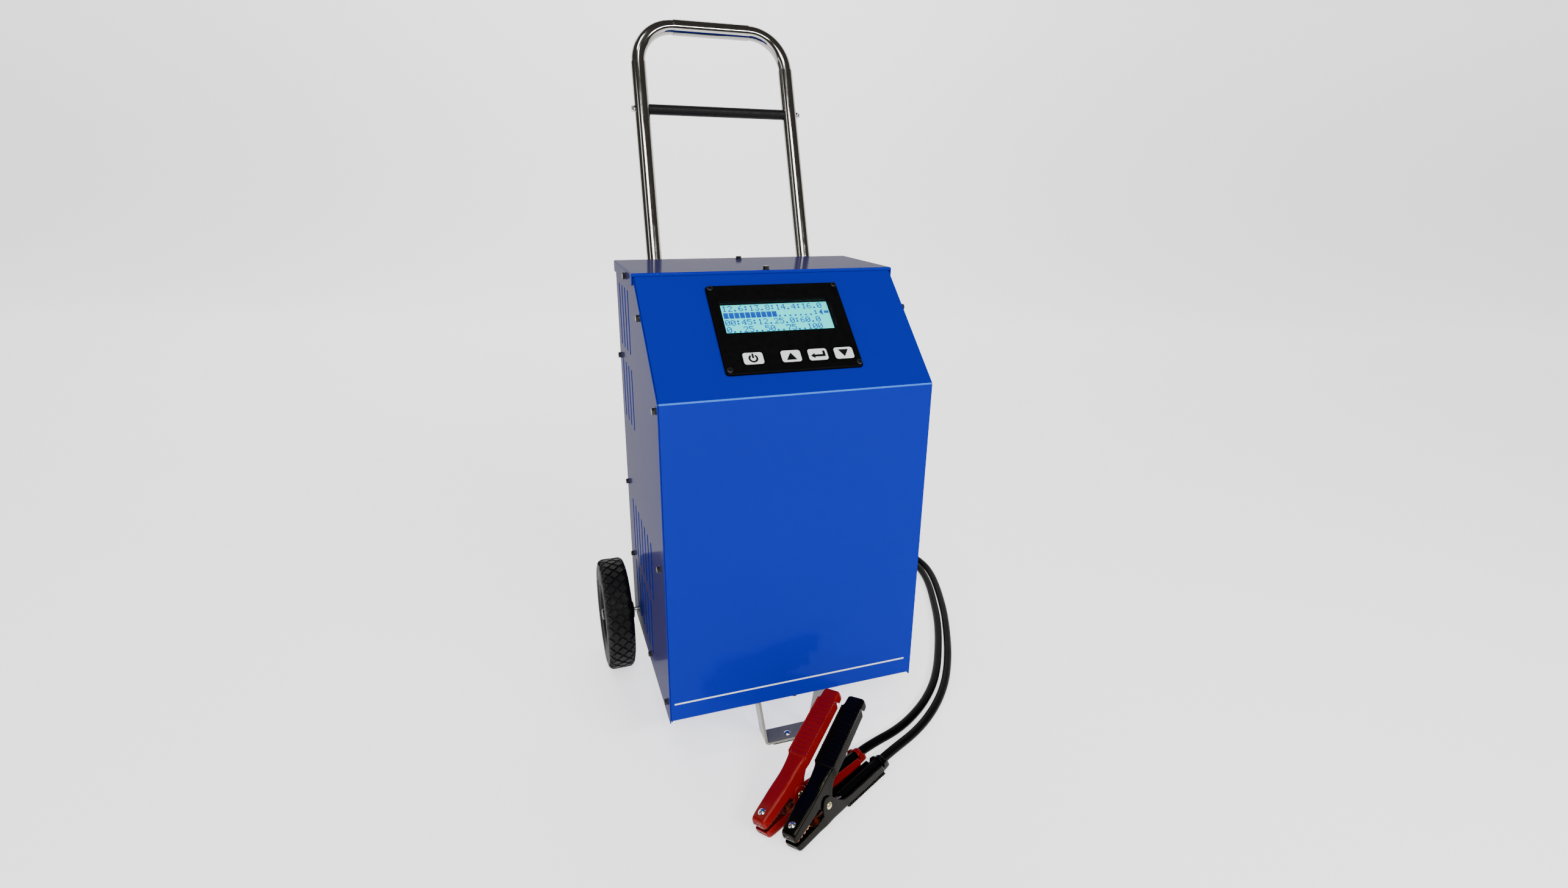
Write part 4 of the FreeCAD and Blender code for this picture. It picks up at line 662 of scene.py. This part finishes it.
class Tyre:
    """A solid tyre turned about the axle, with a lattice of diamond blocks on its tread."""

    def __init__(self, side):
        low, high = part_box(side + "_tyre")
        self.side = side
        self.centre = (low + high) / 2
        self.radius = (high.z - low.z) / 2
        self.half = (high.x - low.x) / 2
        self.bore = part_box(side + "_hub")[1].z - self.centre.z
        self.bm = bmesh.new()

    def place(self, x, angle, radius):
        return self.centre + Vector((x, radius * math.cos(angle), radius * math.sin(angle)))

    def crown(self, x):
        """The tread's base radius at a distance from the middle plane."""
        base = self.radius - TREAD_DEPTH
        past = max(0.0, abs(x) - self.half * 0.60) / (self.half * 0.40)
        return base - 6.5 * MM * past ** 2.4

    def turned(self, outline, steps=144):
        rings = []
        for i in range(steps):
            angle = 2 * math.pi * i / steps
            rings.append([self.bm.verts.new(self.place(x, angle, r)) for x, r in outline])
        for ring, following in zip(rings, rings[1:] + rings[:1]):
            for j in range(len(outline)):
                k = (j + 1) % len(outline)
                self.bm.faces.new((ring[j], ring[k], following[k], following[j]))

    def body(self):
        """Side walls with a moulded ring on each, joined over the crown."""
        wall = [(1.0, 0.0), (1.0, 2.0), (0.955, 2.6), (0.955, 4.2), (1.0, 4.8), (1.0, 11.0), (0.98, 12.0),
                (0.98, 13.4), (1.0, 14.2), (1.0, 16.0)]
        right = [(share * self.half, self.bore + up * MM) for share, up in wall]
        crown = [(self.half * x / 10, self.crown(self.half * x / 10)) for x in range(10, -11, -1)]
        left = [(-x, r) for x, r in reversed(right)]
        self.turned(right + crown + left)

    def block(self, x, angle):
        """One diamond block with chamfered edges, wrapped on the crown."""
        full = TREAD_BLOCK / 2 - TREAD_GROOVE
        corner = 0.16
        rings = []
        for reach, height in ((full + 0.25 * MM, -0.3 * MM), (full, TREAD_DEPTH - TREAD_CHAMFER),
                              (full - TREAD_CHAMFER, TREAD_DEPTH)):
            outline = []
            for dx, dy in ((1, 0), (0, 1), (-1, 0), (0, -1)):
                for turn in (-corner, corner):
                    across = reach * ((1 - corner) * dx - turn * dy)
                    along = reach * ((1 - corner) * dy + turn * dx)
                    outline.append((across, along))
            rings.append([self.bm.verts.new(self.place(
                max(-self.half, min(self.half, x + dx)), angle + dy / self.radius,
                min(self.radius, self.crown(x + dx) + height))) for dx, dy in outline])
        for lower, upper in zip(rings, rings[1:]):
            for j in range(len(lower)):
                k = (j + 1) % len(lower)
                self.bm.faces.new((lower[j], lower[k], upper[k], upper[j]))
        self.bm.faces.new(rings[-1])

    def make(self, material):
        self.body()
        around = round(2 * math.pi * self.radius / TREAD_BLOCK)
        for row in range(-2, 3):
            shift = 0.5 * (row % 2)
            for i in range(around):
                self.block(row * TREAD_BLOCK / 2, 2 * math.pi * (i + shift) / around)
        tyre = mesh_piece(self.side + "_tyre_tread", self.bm, material, self.side + "_wheel", 40.0)
        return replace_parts(tyre, self.side + "_tyre")


# ---------------------------------------------------------------- clamp grips

CLAMPS = {
    "black": (laid(-0.0162, -0.1206, -0.0426), (33.6, -14.3, -14.9)),
    "red": (laid(-0.0392, -0.0963, -0.0428), (30.9, -14.2, -15.7)),
}
PIVOT_WEB, TAIL_WEB, CLAMP_TAIL = 21.9 * MM, 53.3 * MM, 104.0 * MM
GRIP_FROM, GRIP_TO, GRIP_HALF = 25.5 * MM, 90.0 * MM, 12.4 * MM
BEAD_RADIUS, BEAD_PITCH = 1.35 * MM, 2.9 * MM
VOXEL = 0.7 * MM
SOFTENING, SOFTEN_STEPS = 0.5, 2


def clamp_matrix(colour):
    place, (yaw, pitch, roll) = CLAMPS[colour]
    turn = Euler((math.radians(roll), math.radians(pitch), math.radians(yaw)), "XYZ")
    return Matrix.Translation(place) @ turn.to_matrix().to_4x4()


def web_height(a):
    return PIVOT_WEB + (TAIL_WEB - PIVOT_WEB) * a / CLAMP_TAIL


def bead_places():
    """Where the moulded beads sit: along both edges of the grip and across its front."""
    places = []
    count = round((GRIP_TO - GRIP_FROM) / BEAD_PITCH)
    for i in range(count + 1):
        a = GRIP_FROM + BEAD_PITCH * i
        half = GRIP_HALF + 0.4 * MM * (1 - i / count)
        places += [(a, -half, web_height(a) - 0.4 * MM), (a, half, web_height(a) - 0.4 * MM)]
    for b in range(-4, 5):
        a = GRIP_FROM - 1.5 * MM
        places.append((a, b * BEAD_PITCH, web_height(a) - 0.2 * MM))
    return places


def make_grip(colour, half, material, body):
    """A pressed half in its dipped coat: the pressing's shape with beads, softened all over."""
    node = f"{colour}_clamp_{half}_handle"
    matrix = clamp_matrix(colour)
    bm = bmesh.new()
    bm.from_mesh(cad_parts[node].data)
    flip = 1 if half == "upper" else -1
    for a, b, c in bead_places():
        spot = matrix @ Matrix.Translation(Vector((a, b, c * flip)))
        bmesh.ops.create_icosphere(bm, subdivisions=2, radius=BEAD_RADIUS, matrix=spot)
    mesh = bpy.data.meshes.new(node + "_coat")
    bm.to_mesh(mesh)
    bm.free()
    coat = add_object(node + "_coat", mesh, material, body)
    remesh = coat.modifiers.new("remesh", "REMESH")
    remesh.mode = "VOXEL"
    remesh.voxel_size = VOXEL
    remesh.use_smooth_shade = True
    smooth = coat.modifiers.new("smooth", "SMOOTH")
    smooth.factor = SOFTENING
    smooth.iterations = SOFTEN_STEPS
    depsgraph = bpy.context.evaluated_depsgraph_get()
    final = bpy.data.meshes.new_from_object(coat.evaluated_get(depsgraph))
    coat.modifiers.clear()
    coat.data = final
    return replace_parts(coat, node)


# ---------------------------------------------------------------- stage

def make_stage(material):
    """A pale floor that curves up into a backdrop square to the camera."""
    reach, front, back, rise, radius, steps = 9.0, -2.6, 4.2, 6.0, 1.6, 16
    profile = [(front, 0.0), (back - radius, 0.0)]
    for i in range(1, steps + 1):
        angle = math.pi / 2 * i / steps
        profile.append((back - radius + radius * math.sin(angle), radius - radius * math.cos(angle)))
    profile.append((back, rise))
    bm = bmesh.new()
    rows = [[bm.verts.new((x, y, z + FLOOR_Z)) for y, z in profile] for x in (-reach, reach)]
    for i in range(len(profile) - 1):
        bm.faces.new((rows[0][i], rows[1][i], rows[1][i + 1], rows[0][i + 1]))
    turn = Matrix.Rotation(math.radians(CAMERA_AZIMUTH), 3, "Z")
    bmesh.ops.rotate(bm, verts=bm.verts, cent=(0, 0, 0), matrix=turn)
    mesh = bpy.data.meshes.new("studio_floor")
    bm.to_mesh(mesh)
    bm.free()
    mesh.polygons.foreach_set("use_smooth", [True] * len(mesh.polygons))
    floor = bpy.data.objects.new("studio_floor", mesh)
    bpy.context.scene.collection.objects.link(floor)
    mesh.materials.append(material)


def soft_light(name, place, target, size, power):
    data = bpy.data.lights.new(name, "AREA")
    data.shape = "RECTANGLE"
    data.size, data.size_y = size
    data.energy = power
    light = bpy.data.objects.new(name, data)
    light.location = place
    light.rotation_euler = (Vector(target) - Vector(place)).to_track_quat("-Z", "Y").to_euler()
    bpy.context.scene.collection.objects.link(light)


def make_lights():
    middle = (0, 0, 0.35)
    soft_light("front_softbox", (-0.8, -2.2, 2.1), middle, (1.2, 0.9), 46)
    soft_light("bend_light", (0.75, -2.05, 1.6), middle, (1.3, 0.10), 45)
    soft_light("top_softbox", (-0.7, -0.6, 2.4), middle, (0.5, 0.5), 10)
    soft_light("glint_light", (-0.25, -1.6, 2.6), (0, -0.2, 0.1), (0.12, 0.12), 9)
    soft_light("left_softbox", (-2.3, -0.5, 1.3), middle, (0.4, 1.4), 5)
    soft_light("back_wash", (0.0, 1.9, 2.6), (0, 3.2, 0.9), (3.0, 0.8), 50)
    world = bpy.data.worlds.new("studio")
    world.use_nodes = True
    world.node_tree.nodes["Background"].inputs["Color"].default_value = (0.10, 0.092, 0.085, 1)
    world.node_tree.nodes["Background"].inputs["Strength"].default_value = 0.9
    bpy.context.scene.world = world


# ---------------------------------------------------------------- build

def main():
    make_camera()
    materials = make_materials()
    finish_cad_nodes(materials)
    for colour in ("black", "red"):
        coats = {half: make_grip(colour, half, materials[colour + "_vinyl"], body)
                 for half, body in (("lower", "cabinet"), ("upper", colour + "_clamp_upper"))}
        make_lead(colour, materials["jacket"])
    for side in ("left", "right"):
        Tyre(side).make(materials["tyre"])
    make_key_signs(materials["ink"], materials["key"])
    make_display(materials)
    make_stage(materials["floor"])
    make_lights()


main()
